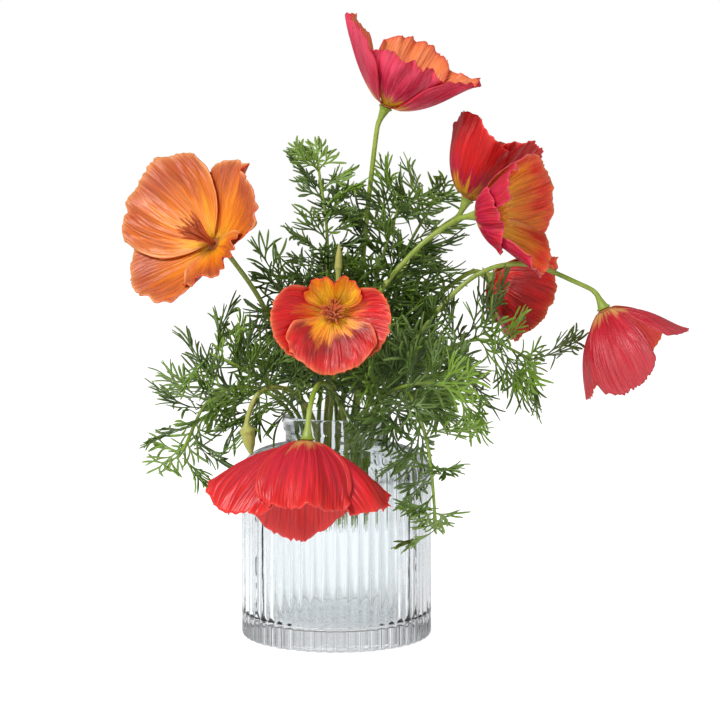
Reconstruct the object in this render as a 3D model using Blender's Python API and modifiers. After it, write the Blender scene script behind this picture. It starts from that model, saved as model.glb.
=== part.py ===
"""A bunch of California poppies standing in a ribbed glass jar.

Units are metres and +Z is up. The origin is the middle of the jar's flat foot.
Every flower is built in its own frame: +Z is the way it faces, and azimuth 0 is its first petal.
"""

import math
import random

import bmesh
import bpy
import numpy as np
from mathutils import Matrix, Vector
from mathutils.bvhtree import BVHTree
from mathutils.geometry import interpolate_bezier

MM = 0.001

# Jar
JAR_RADIUS = 42 * MM
JAR_HEIGHT = 97 * MM
JAR_WALL = 3 * MM
JAR_FLOOR = 8 * MM
JAR_FOOT_BEVEL = 2 * MM
NECK_RADIUS = 22.5 * MM
NECK_WALL = 2.2 * MM
NECK_FOOT = 84 * MM
COLLAR_HEIGHT = 6 * MM
COLLAR_PROUD = 1 * MM
SHOULDER_FOOT = 73 * MM
RIB_COUNT = 54
RIB_DEPTH = 0.9 * MM
CAVITY_STEPS = 36

# Stems and the receptacle that each flower sits on
STEM_RADIUS = 1.25 * MM
STEM_POINT_GAP = 9 * MM
RECEPTACLE_LENGTH = 9 * MM
RECEPTACLE_RADIUS = 2.7 * MM
FLANGE_RADIUS = 3.8 * MM
FLANGE_THICKNESS = 0.7 * MM

# Petals
PETAL_THICKNESS = 0.4 * MM
PETAL_FOOT_RADIUS = 2.9 * MM
PETAL_FOOT_RISE = 0.9 * MM
PETAL_FOOT_HALF_WIDTH = 1.5 * MM
PETAL_LAYER = 1 * MM
PETAL_COLUMNS = 8
PETAL_ROWS = 6
ROW_CROWDING = 1.4
WIDEST_HALF_ANGLE = math.radians(80)

# Stamens
STAMEN_FOOT_RADIUS = 1.5 * MM
STAMEN_TIP_RADIUS = 3.6 * MM
STAMEN_HEIGHT = 10 * MM
STAMEN_COUNT = 8

# Buds and leafy shoots
BUD_STALK_RADIUS = 1.2 * MM
STALK_RADIUS = 1.1 * MM
LOBE_RADIUS = 0.75 * MM
LOBE_TIP_RADIUS = 0.55 * MM
STALK_THICKNESS = 2 * MM
LOBE_THICKNESS_SHARE = 0.3
SHOOT_POINT_GAP = 8 * MM
LEAF_TURN = math.radians(60)
FORK_ANGLE = math.radians(40)

# How far apart neighbours stay
CLEARANCE = 0.5 * MM
SPREAD_GAP = 3 * MM
SPREAD_ROUNDS = 90
NECK_ROOM = (80 * MM, 99 * MM)

# Each flower: where its receptacle's face is, the way it faces, where azimuth 0 points, the stem's
# route from the cut end upwards, all in millimetres, and its petals.
# A petal is azimuth, length, half width, then its lean from the axis at the foot, middle and tip.
# A fold sets length and leans between two petals in the same way, and holds no petal itself.
# A fold sets length and leans between two petals in the same way, and holds no petal itself.
FLOWERS = {
    "top": {
        "at": (21.7, 0, 232),
        "faces": (0.42, -0.12, 0.9),
        "first": (-1, 0, 0),
        "route": [(-2, 4, 44), (1, 5, 92), (9, 10, 140), (14, 6, 190)],
        "petals": [
            (2, 42, 21, 62, 42, 30),
            (92, 33, 23, 72, 42, 32),
            (176, 42, 21, 76, 40, 38),
            (258, 41, 18, 66, 36, 28),
        ],
    },
    "left": {
        "at": (-52, -13, 172),
        "faces": (-0.58, -0.68, 0.45),
        "first": (0, 0, 1),
        "route": [(-9, 3, 45), (-13, 1, 92), (-20, -2, 118), (-33, -5, 148)],
        "petals": [
            (326, 36, 23, 74, 62, 50),
            (60, 46, 27, 70, 60, 62),
            (136, 38, 21, 74, 64, 62),
            (224, 26, 19, 78, 66, 62),
        ],
    },
    "front": {
        "at": (-1, -49, 144),
        "faces": (0.02, -0.95, 0.3),
        "first": (1, 0, 0),
        "route": [(-3, -4, 47), (-3, -9, 92), (0, -20, 118), (1, -32, 136)],
        "petals": [
            (338, 24, 18, 78, 70, 70),
            (88, 17, 12, 60, 30, 20),
            (198, 25, 18, 78, 70, 70),
            (268, 25, 23, 80, 77, 80),
        ],
        "folds": [(46, 19, 0, 70, 46, 36), (134, 19, 0, 70, 46, 36)],
    },
    "hanging": {
        "at": (-11, -72, 94.5),
        "faces": (-0.06, -0.16, -0.98),
        "first": (0.1, -1, 0),
        "route": [(4, -10, 50), (5, -15, 92), (-1, -34, 111), (-6, -50, 116), (-9, -63, 112)],
        "petals": [
            (4, 43, 21, 78, 44, 30),
            (74, 47, 26, 80, 48, 24),
            (180, 52, 17, 74, 26, 4),
            (292, 43, 24, 80, 50, 24),
        ],
        "folds": [
            (42, 48, 0, 76, 37, 16),
            (118, 44, 0, 84, 62, 48),
            (240, 42, 0, 82, 58, 46),
            (328, 42, 0, 78, 38, 20),
        ],
    },
    "upper_right": {
        "at": (58, 12, 192),
        "faces": (0.44, 0.05, 0.9),
        "first": (-1, 0, 0),
        "route": [(2, 12, 46), (7, 9, 92), (18, 6, 140), (40, 9, 174)],
        "petals": [
            (44, 39, 20, 62, 22, 0),
            (148, 41, 18, 64, 24, 10),
            (222, 39, 18, 60, 22, 10),
            (314, 36, 18, 60, 22, 8),
        ],
        "folds": [(90, 36, 0, 64, 40, 30)],
    },
    "right": {
        "at": (61, -20, 185),
        "faces": (0.88, -0.45, 0.12),
        "first": (0, 1, 0.2),
        "route": [(6, -3, 45), (9, -5, 92), (13, -12, 140), (34, -17, 170)],
        "petals": [
            (8, 38, 22, 72, 46, 40),
            (98, 28, 16, 72, 34, 24),
            (190, 19, 14, 74, 26, 4),
            (276, 37, 20, 76, 46, 40),
        ],
    },
    "back_right": {
        "at": (70, 32, 156),
        "faces": (0.8, 0.25, -0.42),
        "first": (0, -1, 0),
        "route": [(10, 9, 46), (12, 11, 92), (26, 20, 128), (50, 28, 152)],
        "petals": [
            (0, 31, 19, 68, 30, 20),
            (90, 30, 18, 68, 36, 28),
            (180, 31, 19, 66, 36, 26),
            (270, 31, 19, 66, 38, 28),
        ],
    },
    "far_right": {
        "at": (117, -4, 144),
        "faces": (0.44, -0.06, -0.9),
        "first": (0, -1, 0),
        "route": [(12, 1, 46), (16, 0, 92), (30, -3, 124), (58, -4, 157), (82, -4, 164), (104, -4, 156)],
        "petals": [
            (16, 43, 15, 66, 26, 8),
            (98, 41, 15, 68, 32, 28),
            (188, 35, 16, 66, 22, 8),
            (278, 37, 15, 80, 44, 30),
        ],
    },
}

# Buds: the route of the stalk up to the bud's foot, then the bud's tip, in millimetres.
BUDS = {
    "bud_hanging": {
        "route": [(-6, -8, 48), (-9, -14, 92), (-20, -34, 112), (-33, -44, 111)],
        "foot": (-37, -46, 98),
        "tip": (-35, -46, 85),
        "radius": 3.6,
    },
    "bud_upright": {
        "route": [(-5, 8, 48), (-5, 12, 92), (-2, 2, 120), (1, -12, 140)],
        "foot": (1, -16, 160),
        "tip": (1.5, -16, 173),
        "radius": 1.9,
    },
}

# Leafy shoots: the stalk's route in millimetres, and how long its leaves are.
SHOOTS = {
    "shoot_upper_left": ([(-7, 3, 50), (-8, 6, 92), (-5, 6, 130), (-2, 2, 175), (-4, -2, 208)], 30),
    "shoot_top": ([(-1, -1, 50), (1, -2, 92), (10, 2, 130), (20, 10, 165), (28, 14, 196)], 30),
    "shoot_upper_right": ([(5, 5, 50), (6, 4, 92), (20, 14, 125), (30, 26, 165), (42, 30, 196)], 30),
    "shoot_right": ([(11, 4, 50), (15, 6, 92), (32, 10, 116), (62, 4, 130), (90, -4, 120)], 30),
    "shoot_right_front": ([(9, -9, 50), (12, -11, 92), (30, -32, 112), (44, -50, 92), (46, -52, 60)], 28),
    "shoot_left": ([(-12, -3, 50), (-17, -3, 92), (-34, -12, 110), (-58, -18, 106), (-76, -22, 88)], 28),
    "shoot_front_left": (
        [(-10, -7, 50), (-14, -9, 92), (-28, -22, 112), (-44, -26, 122), (-58, -24, 130)],
        30,
    ),
    "shoot_front_right": ([(8, -11, 50), (8, -14, 92), (21, -40, 110), (36, -52, 116), (52, -48, 116)], 28),
    "shoot_back": ([(0, 14, 50), (0, 17, 92), (-4, 34, 118), (-16, 52, 140), (-34, 58, 150)], 32),
}

GROWTH_SEED = 7


def clear_scene():
    for old in list(bpy.data.objects):
        bpy.data.objects.remove(old)


def make_collection(name):
    made = bpy.data.collections.new(name)
    bpy.context.scene.collection.children.link(made)
    return made


def make_material(name, colour, roughness, transmission=0.0):
    made = bpy.data.materials.new(name)
    made.use_nodes = True
    shader = made.node_tree.nodes["Principled BSDF"]
    shader.inputs["Base Color"].default_value = (*colour, 1)
    shader.inputs["Roughness"].default_value = roughness
    shader.inputs["Metallic"].default_value = 0
    shader.inputs["Transmission Weight"].default_value = transmission
    return made


def add_object(name, data, collection, material=None):
    made = bpy.data.objects.new(name, data)
    collection.objects.link(made)
    if material is not None:
        data.materials.append(material)
    return made


def smooth(mesh, angle=40):
    mesh.shade_smooth()
    mesh.set_sharp_from_angle(angle=math.radians(angle))


def in_metres(points):
    return [Vector(point) * MM for point in points]


def turned_mesh(name, profile, steps):
    """The closed solid that a profile from the axis and back to it makes when it is turned about Z."""
    outline = bpy.data.meshes.new(name)
    outline.from_pydata([(radius, 0, height) for radius, height in profile], edges_of(len(profile)), [])
    turned = bpy.data.objects.new(name, outline)
    bpy.context.scene.collection.objects.link(turned)
    screw = turned.modifiers.new("turn", "SCREW")
    screw.steps = screw.render_steps = steps
    screw.use_merge_vertices = True
    screw.merge_threshold = 0.05 * MM
    screw.use_normal_calculate = True
    graph = bpy.context.evaluated_depsgraph_get()
    solid = bpy.data.meshes.new_from_object(turned.evaluated_get(graph))
    bpy.data.objects.remove(turned)
    face_outwards(solid)
    return solid


def face_outwards(mesh):
    shell = bmesh.new()
    shell.from_mesh(mesh)
    bmesh.ops.recalc_face_normals(shell, faces=shell.faces)
    if shell.calc_volume(signed=True) < 0:
        bmesh.ops.reverse_faces(shell, faces=shell.faces)
    shell.to_mesh(mesh)
    shell.free()


def edges_of(count):
    return [(start, start + 1) for start in range(count - 1)]


def shoulder_profile(foot_radius, neck_radius, foot_height, neck_height, count):
    """A quarter of an ellipse from the straight wall, round and in to the neck."""
    across, up = foot_radius - neck_radius, neck_height - foot_height
    angles = [math.pi / 2 * step / (count - 1) for step in range(count)]
    return [(neck_radius + across * math.cos(a), foot_height + up * math.sin(a)) for a in angles]


def jar_outer_profile():
    """From the middle of the rim, down the outside, to the middle of the foot."""
    collar = NECK_RADIUS + COLLAR_PROUD
    shoulder = shoulder_profile(JAR_RADIUS, NECK_RADIUS, SHOULDER_FOOT, NECK_FOOT, 5)
    return [
        (0, JAR_HEIGHT),
        (collar, JAR_HEIGHT),
        (collar, JAR_HEIGHT - COLLAR_HEIGHT),
        (NECK_RADIUS, JAR_HEIGHT - COLLAR_HEIGHT - COLLAR_PROUD),
        *reversed(shoulder),
        (JAR_RADIUS, JAR_FOOT_BEVEL),
        (JAR_RADIUS - JAR_FOOT_BEVEL, 0),
        (0, 0),
    ]


def jar_cavity_profile():
    """From above the rim, down the inside wall, to the middle of the floor."""
    neck, body = NECK_RADIUS - NECK_WALL, JAR_RADIUS - JAR_WALL
    shoulder = shoulder_profile(body, neck, SHOULDER_FOOT - JAR_WALL / 2, NECK_FOOT - JAR_WALL, 4)
    return [
        (0, JAR_HEIGHT + JAR_WALL),
        (neck, JAR_HEIGHT + JAR_WALL),
        *reversed(shoulder),
        (body, JAR_FLOOR + JAR_WALL),
        (body - JAR_WALL, JAR_FLOOR),
        (0, JAR_FLOOR),
    ]


def press_ribs(mesh):
    """Pulls every second column of the body's wall in, which leaves upright ribs."""
    for vertex in mesh.vertices:
        radius = math.hypot(vertex.co.x, vertex.co.y)
        if radius < JAR_RADIUS - 1.5 * JAR_FOOT_BEVEL or vertex.co.z > SHOULDER_FOOT + 4 * MM:
            continue
        turn = math.atan2(vertex.co.y, vertex.co.x) * RIB_COUNT
        inward = RIB_DEPTH * (0.5 - 0.5 * math.cos(turn)) / radius
        vertex.co.x *= 1 - inward
        vertex.co.y *= 1 - inward


def build_jar(parts, cutters, glass):
    outside = turned_mesh("jar_outside", jar_outer_profile(), RIB_COUNT * 2)
    press_ribs(outside)
    smooth(outside)
    jar = add_object("jar", outside, parts, glass)
    hollow = turned_mesh("jar_hollow", jar_cavity_profile(), CAVITY_STEPS)
    cavity = add_object("jar_cavity", hollow, cutters)
    cavity.hide_render = True
    cavity.display_type = "WIRE"
    cut = jar.modifiers.new("hollow", "BOOLEAN")
    cut.operation = "DIFFERENCE"
    cut.object = cavity
    return jar


# ---------------------------------------------------------------- stems and buds


def smooth_route(points, gap=STEM_POINT_GAP):
    """Points about one gap apart along a smooth curve that passes through the given ones."""
    count = len(points)
    slopes = [
        (points[min(i + 1, count - 1)] - points[max(i - 1, 0)]) / (2 if 0 < i < count - 1 else 1)
        for i in range(count)
    ]
    route = [points[0]]
    for i in range(count - 1):
        start, end = points[i], points[i + 1]
        pieces = max(2, round((end - start).length / gap))
        curve = interpolate_bezier(start, start + slopes[i] / 3, end - slopes[i + 1] / 3, end, pieces + 1)
        route.extend(curve[1:])
    return route


def tube(name, sections, collection, material):
    """A tube along (point, radius) sections, with closed ends."""
    curve = bpy.data.curves.new(name, "CURVE")
    curve.dimensions = "3D"
    curve.bevel_depth = 1
    curve.bevel_resolution = 1
    curve.use_fill_caps = True
    spline = curve.splines.new("POLY")
    spline.points.add(len(sections) - 1)
    for target, (point, radius) in zip(spline.points, sections):
        target.co = (*point, 1)
        target.radius = radius
    return add_object(name, curve, collection, material)


def receptacle_sections(at, facing):
    """The green cone under the petals, and the thin flange that the petals stand on."""
    cone = at - facing * (FLANGE_THICKNESS + 0.3 * MM)
    return [
        (at - facing * RECEPTACLE_LENGTH * 0.6, STEM_RADIUS * 1.15),
        (cone, RECEPTACLE_RADIUS),
        (at - facing * FLANGE_THICKNESS, FLANGE_RADIUS),
        (at, FLANGE_RADIUS * 0.92),
    ]


def stem_route(flower):
    """The points that a flower's stem passes, up to the foot of its receptacle."""
    facing = Vector(flower["faces"]).normalized()
    return [*in_metres(flower["route"]), Vector(flower["at"]) * MM - facing * RECEPTACLE_LENGTH]


def bud_route(bud):
    return [*in_metres(bud["route"]), Vector(bud["foot"]) * MM]


def build_stem(name, flower, route, parts, green):
    at = Vector(flower["at"]) * MM
    facing = Vector(flower["faces"]).normalized()
    sections = [(point, STEM_RADIUS) for point in route] + receptacle_sections(at, facing)
    return tube("stem_" + name, sections, parts, green)


def build_bud(name, bud, route, parts, green):
    foot, tip = Vector(bud["foot"]) * MM, Vector(bud["tip"]) * MM
    radius = bud["radius"] * MM
    sections = [(point, BUD_STALK_RADIUS) for point in route]
    swell = [(0.12, 0.8), (0.2, 1.1), (0.3, 0.92), (0.55, 0.9), (0.8, 0.5), (1.0, 0.12)]
    sections += [(foot.lerp(tip, along), radius * share) for along, share in swell]
    return tube(name, sections, parts, green)


def jar_room(height):
    """How far from the axis a stalk may be at a height inside the jar."""
    if height > NECK_ROOM[1]:
        return math.inf
    return (NECK_RADIUS - NECK_WALL if height > NECK_ROOM[0] else JAR_RADIUS - 2 * JAR_WALL) - CLEARANCE


def spread_routes(routes, radii, petals):
    """Moves stalks aside, a little at a time, until they clear each other, the jar and the petals."""
    owner = np.concatenate([np.full(len(route), number) for number, route in enumerate(routes)])
    rest = np.array([tuple(point) for route in routes for point in route])
    radius = np.concatenate([np.full(len(route), thick) for route, thick in zip(routes, radii)])
    from_top = np.concatenate([np.arange(len(route))[::-1] for route in routes])
    held = from_top < 3
    inner = (np.roll(owner, 1) == owner) & (np.roll(owner, -1) == owner)
    need = radius[:, None] + radius[None, :] + 2 * CLEARANCE
    need = np.sqrt(need**2 + (SPREAD_GAP / 2) ** 2)
    apart = owner[:, None] != owner[None, :]
    moved = np.zeros_like(rest)
    for _ in range(SPREAD_ROUNDS):
        place = rest + moved
        between = place[:, None] - place[None, :]
        distance = np.linalg.norm(between, axis=2) + 1e-9
        short = np.where(apart, np.maximum(need - distance, 0), 0)
        push = (between / distance[..., None] * short[..., None] * 0.5).sum(axis=1)
        for number in np.nonzero(from_top > 5)[0]:
            push[number] += push_from(petals, Vector(place[number]), radius[number] + CLEARANCE * 2)
        push[held] = 0
        moved += push
        eased = 0.5 * moved + 0.25 * (np.roll(moved, 1, axis=0) + np.roll(moved, -1, axis=0))
        moved = np.where(inner[:, None] & ~held[:, None], eased, moved)
        keep_inside(rest, moved, radius)
    place = rest + moved
    return [[Vector(point) for point in place[owner == number]] for number in range(len(routes))]


def push_from(tree, point, reach):
    near, _, _, distance = tree.find_nearest(point, reach)
    if near is None or distance < 1e-6:
        return (0, 0, 0)
    return (point - near) / distance * (reach - distance)


def keep_inside(rest, moved, radius):
    """Brings points that the jar's wall or neck would cut back inside it."""
    for number in range(len(rest)):
        x, y, z = rest[number] + moved[number]
        room = jar_room(z) - radius[number]
        reach = math.hypot(x, y)
        if room < reach < JAR_RADIUS and z < NECK_ROOM[1]:
            moved[number][0] -= x * (1 - room / reach)
            moved[number][1] -= y * (1 - room / reach)


def thin_out(route, gap):
    """Keeps about one point per gap, and both ends."""
    every = max(1, round(gap / SPREAD_GAP))
    kept = route[:-1][::every]
    if (kept[-1] - route[-1]).length < gap * 0.5:
        kept = kept[:-1]
    return [*kept, route[-1]]


# ---------------------------------------------------------------- petals


def blend_petals(flower, azimuth):
    """Length and the three leans at an azimuth, easing from one petal or fold to the next."""
    ordered = sorted(flower["petals"] + flower.get("folds", []))
    for i, petal in enumerate(ordered):
        after = ordered[(i + 1) % len(ordered)]
        span = (after[0] - petal[0]) % 360
        offset = (azimuth - petal[0]) % 360
        if offset <= span:
            ease = 0.5 - 0.5 * math.cos(math.pi * offset / span)
            mix = [a + (b - a) * ease for a, b in zip(petal, after)]
            return mix[1] * MM, [math.radians(lean) for lean in mix[3:6]]
    raise ValueError("no petal spans this azimuth")


def meridian(leans, length, reach):
    """Radius, height and lean at a reach up the petal, by summing its lean along the way."""
    steps = 12
    radius, height = PETAL_FOOT_RADIUS, PETAL_FOOT_RISE
    foot, middle, tip = leans
    for step in range(steps):
        along = reach / length * (step + 0.5) / steps
        lean = foot * (1 - along) * (1 - 2 * along) + 4 * middle * along * (1 - along)
        lean += tip * along * (2 * along - 1)
        radius += math.sin(lean) * reach / steps
        height += math.cos(lean) * reach / steps
    return radius, height, lean


def petal_half_width(petal, share):
    """Half the width of the fan-shaped petal, from its narrow foot to its broad top."""
    reach = math.sin(math.pi / 2 * min(1, share / 0.85)) ** 1.15
    return PETAL_FOOT_HALF_WIDTH + (petal[2] * MM - PETAL_FOOT_HALF_WIDTH) * reach


def petal_point(flower, petal, layer, across, share):
    """A point of the petal: across runs from -1 to 1, share from foot to tip."""
    reach = petal[1] * MM * share * (1 - 0.22 * abs(across) ** 2.4)
    length, leans = blend_petals(flower, petal[0])
    radius, _, _ = meridian(leans, length, reach)
    half_angle = min(petal_half_width(petal, share) / radius, WIDEST_HALF_ANGLE)
    azimuth = petal[0] + math.degrees(across * half_angle)
    length, leans = blend_petals(flower, azimuth % 360)
    radius, height, lean = meridian(leans, length, reach)
    rise = PETAL_LAYER * layer * min(1, share / 0.07)
    radius -= rise * math.cos(lean)
    height += rise * math.sin(lean)
    turn = math.radians(azimuth)
    return Vector((radius * math.cos(turn), radius * math.sin(turn), height))


def build_petal(name, flower, petal, layer, parts, material):
    grid = bmesh.new()
    bmesh.ops.create_grid(grid, x_segments=PETAL_COLUMNS, y_segments=PETAL_ROWS, size=1)
    for vertex in grid.verts:
        vertex.co = petal_point(flower, petal, layer, vertex.co.x, ((vertex.co.y + 1) / 2) ** ROW_CROWDING)
    mesh = bpy.data.meshes.new(name)
    grid.to_mesh(mesh)
    grid.free()
    smooth(mesh, 60)
    made = add_object(name, mesh, parts, material)
    thicken = made.modifiers.new("thickness", "SOLIDIFY")
    thicken.thickness = PETAL_THICKNESS
    thicken.offset = 0
    return made


# ---------------------------------------------------------------- stamens


def build_stamens(name, parts, material):
    """A crown of pointed stamens round the pistil, as one solid."""
    columns = STAMEN_COUNT * 2
    profile = [
        (0, STAMEN_HEIGHT * 0.62),
        (STAMEN_TIP_RADIUS * 0.45, STAMEN_HEIGHT * 0.62),
        (STAMEN_TIP_RADIUS, STAMEN_HEIGHT * 0.8),
        (STAMEN_TIP_RADIUS * 0.85, STAMEN_HEIGHT * 0.45),
        (STAMEN_FOOT_RADIUS, 0.35 * MM),
        (0, 0.35 * MM),
    ]
    mesh = turned_mesh(name, profile, columns)
    for vertex in mesh.vertices:
        radius = math.hypot(vertex.co.x, vertex.co.y)
        column = round(math.atan2(vertex.co.y, vertex.co.x) / (2 * math.pi) * columns)
        if radius > STAMEN_TIP_RADIUS * 0.95:
            vertex.co.z += STAMEN_HEIGHT * (0.2 if column % 2 else -0.12)
    smooth(mesh, 30)
    return add_object(name, mesh, parts, material)


def flower_frame(flower):
    """The matrix that carries the flower's own frame to its place on the stem."""
    up = Vector(flower["faces"]).normalized()
    first = Vector(flower["first"])
    first = (first - up * first.dot(up)).normalized()
    matrix = Matrix((first, up.cross(first), up)).transposed().to_4x4()
    matrix.translation = Vector(flower["at"]) * MM
    return matrix


def build_flower(name, flower, parts, materials):
    frame = add_object("frame_" + name, None, parts)
    frame.matrix_world = flower_frame(flower)
    pieces = [build_stamens("stamens_" + name, parts, materials["stamens"])]
    for number, petal in enumerate(flower["petals"], start=1):
        layer = 1 if number % 2 == 0 else -1
        title = f"petal_{name}_{number}"
        pieces.append(build_petal(title, flower, petal, layer, parts, materials["petal_" + name]))
    for piece in pieces:
        piece.parent = frame
    return pieces


# ---------------------------------------------------------------- leafy shoots


def world_tree(objects):
    """One search tree of the surfaces of several objects, in the world's frame."""
    graph = bpy.context.evaluated_depsgraph_get()
    points, faces = [], []
    for piece in objects:
        evaluated = piece.evaluated_get(graph)
        mesh = evaluated.to_mesh()
        first = len(points)
        points.extend(evaluated.matrix_world @ vertex.co for vertex in mesh.vertices)
        faces.extend([first + index for index in face.vertices] for face in mesh.polygons)
        evaluated.to_mesh_clear()
    return BVHTree.FromPolygons(points, faces)


def segment_gap(a, b, c, d, samples=5):
    """Roughly the least distance between two short straight pieces, by sampling both."""
    far_apart = ((a + b) - (c + d)).length / 2 - ((b - a).length + (d - c).length) / 2
    if far_apart > 4 * STALK_RADIUS:
        return far_apart
    first = [a.lerp(b, step / (samples - 1)) for step in range(samples)]
    second = [c.lerp(d, step / (samples - 1)) for step in range(samples)]
    return min((p - q).length for p in first for q in second)


class Shoot:
    """A flat branching ribbon: points, each with a normal, a half width and a share of thickness."""

    def __init__(self):
        self.points, self.normals, self.radii, self.shares = [], [], [], []
        self.neighbours = []

    def add(self, root, point, normal, radius, share):
        number = len(self.points)
        self.points.append(point)
        self.normals.append(normal.normalized())
        self.radii.append(radius)
        self.shares.append(share)
        self.neighbours.append([])
        if root is not None:
            self.neighbours[root].append(number)
            self.neighbours[number].append(root)
        return number

    def segments(self, without=None):
        for i, joined in enumerate(self.neighbours):
            for j in joined:
                if i < j and without not in (i, j):
                    yield self.points[i], self.points[j]

    def outline(self, number):
        """The ribbon's corners about one point, each keyed by the two neighbours it lies between."""
        point, normal, radius = self.points[number], self.normals[number], self.radii[number]
        level = normal.orthogonal().normalized()
        rise = normal.cross(level)
        headings = {}
        for other in self.neighbours[number]:
            away = self.points[other] - point
            headings[other] = math.atan2(away.dot(rise), away.dot(level))
        ordered = sorted(headings, key=headings.get)
        corners = []
        for i, other in enumerate(ordered):
            after = ordered[(i + 1) % len(ordered)]
            gap = (headings[after] - headings[other]) % (2 * math.pi) or 2 * math.pi
            if len(ordered) == 1:
                for side in (0.5, -0.5):
                    turn = headings[other] + math.pi * side
                    offset = level * math.cos(turn) + rise * math.sin(turn)
                    corners.append((other, point + offset * radius))
                continue
            turn = headings[other] + gap / 2
            reach = min(radius / max(math.sin(gap / 2), 0.28), radius * 3.2)
            corners.append((other, point + (level * math.cos(turn) + rise * math.sin(turn)) * reach))
        return ordered, corners

    def mesh(self, name):
        """The ribbon's faces: one four-sided face for each edge and one at each fork."""
        grown, shares, first, faces = [], [], {}, []
        for number in range(len(self.points)):
            ordered, corners = self.outline(number)
            indices = list(range(len(grown), len(grown) + len(corners)))
            grown.extend(corner for _, corner in corners)
            shares.extend([self.shares[number]] * len(corners))
            if len(ordered) > 2:
                faces.append(indices)
            for i, other in enumerate(ordered):
                before, after = indices[i - 1], indices[i]
                if len(ordered) == 1:
                    before, after = indices[1], indices[0]
                first[number, other] = (before, after)
        for (number, other), (right, left) in first.items():
            if number < other:
                far_right, far_left = first[other, number]
                faces.append([right, far_left, far_right, left])
        made = bpy.data.meshes.new(name)
        made.from_pydata(grown, [], faces)
        return made, shares


def is_clear(shoot, root, tip, solids, shoots):
    """Whether a new piece from the shoot's point out to tip keeps clear of everything so far."""
    start = shoot.points[root]
    for share in (0.25, 0.5, 0.75, 1.0):
        place = start.lerp(tip, share)
        if solids.find_nearest(place, LOBE_RADIUS + 3.5 * CLEARANCE)[0] is not None:
            return False
    inner = start.lerp(tip, 0.35)
    least = LOBE_RADIUS + STALK_RADIUS + CLEARANCE
    for other in shoots:
        for c, d in other.segments(root if other is shoot else None):
            if segment_gap(inner, tip, c, d) < least:
                return False
    return True


def grow_fan(shoot, root, heading, normal, length, level, chance, world):
    """Forks in three, and each fork forks again until the level is used up."""
    for turn in (0, -1, 1):
        angle = turn * FORK_ANGLE + chance.uniform(-0.06, 0.06)
        direction = Matrix.Rotation(angle, 3, normal) @ heading
        step = direction * length * (1 if turn == 0 else 0.8) * chance.uniform(0.9, 1.1)
        tip = shoot.points[root] + step
        if not is_clear(shoot, root, tip, *world):
            continue
        far = shoot.add(root, tip, normal, LOBE_RADIUS if level else LOBE_TIP_RADIUS, LOBE_THICKNESS_SHARE)
        if level > 0:
            sag = (direction + Vector((0, 0, -0.1))).normalized()
            grow_fan(shoot, far, sag, normal, length * 0.7, level - 1, chance, world)


def start_shoot(name, route):
    """The bare stalk, with the plane of its ribbon turning slowly on its way up."""
    chance = random.Random(f"{GROWTH_SEED} {name}")
    shoot = Shoot()
    turned = chance.uniform(0, math.pi)
    side = (route[1] - route[0]).orthogonal().normalized()
    for number, point in enumerate(route):
        along = (route[min(number + 1, len(route) - 1)] - route[max(number - 1, 0)]).normalized()
        side = (side - along * side.dot(along)).normalized()
        turned += LEAF_TURN / 2
        flat = Matrix.Rotation(turned, 3, along) @ side
        taper = 1 - 0.4 * number / (len(route) - 1)
        root = None if number == 0 else number - 1
        shoot.add(root, point, along.cross(flat), STALK_RADIUS * taper, taper)
    return shoot, chance


def leaf_joints(shoot):
    """Every second point of the stalk that stands clear above the neck."""
    count = len(shoot.points)
    free = [i for i in range(1, count) if shoot.points[i].z > JAR_HEIGHT + 8 * MM]
    after_neck = [i for i in range(1, count) if i >= min(free)]
    return after_neck[::2]


def grow_leaves(shoot, chance, leaf_length, world):
    count = len(shoot.points)
    for place, number in enumerate(leaf_joints(shoot)):
        after = shoot.points[min(number + 1, count - 1)]
        along = (after - shoot.points[number - 1]).normalized()
        normal = shoot.normals[number]
        outward = normal.cross(along) * (1 if place % 2 else -1)
        heading = (along * 0.6 + outward * 0.8).normalized()
        length = leaf_length * MM * chance.uniform(0.85, 1.1)
        tip = shoot.points[number] + heading * length * 0.4
        if not is_clear(shoot, number, tip, *world):
            continue
        foot = shoot.add(number, tip, normal, LOBE_RADIUS, LOBE_THICKNESS_SHARE)
        grow_fan(shoot, foot, heading, normal, length * 0.35, 1, chance, world)


def build_shoot(name, shoot, parts, material):
    mesh, shares = shoot.mesh(name)
    smooth(mesh, 50)
    made = add_object(name, mesh, parts, material)
    group = made.vertex_groups.new(name="thickness")
    for index, share in enumerate(shares):
        group.add([index], share, "REPLACE")
    thicken = made.modifiers.new("thickness", "SOLIDIFY")
    thicken.thickness = STALK_THICKNESS
    thicken.offset = 0
    thicken.vertex_group = "thickness"
    return made


# ---------------------------------------------------------------- the whole bunch

PETAL_COLOURS = {
    "top": (0.85, 0.20, 0.22),
    "left": (0.90, 0.40, 0.08),
    "front": (0.90, 0.10, 0.03),
    "hanging": (0.88, 0.12, 0.10),
    "upper_right": (0.86, 0.12, 0.05),
    "right": (0.88, 0.16, 0.05),
    "back_right": (0.75, 0.08, 0.05),
    "far_right": (0.80, 0.12, 0.12),
}


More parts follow.
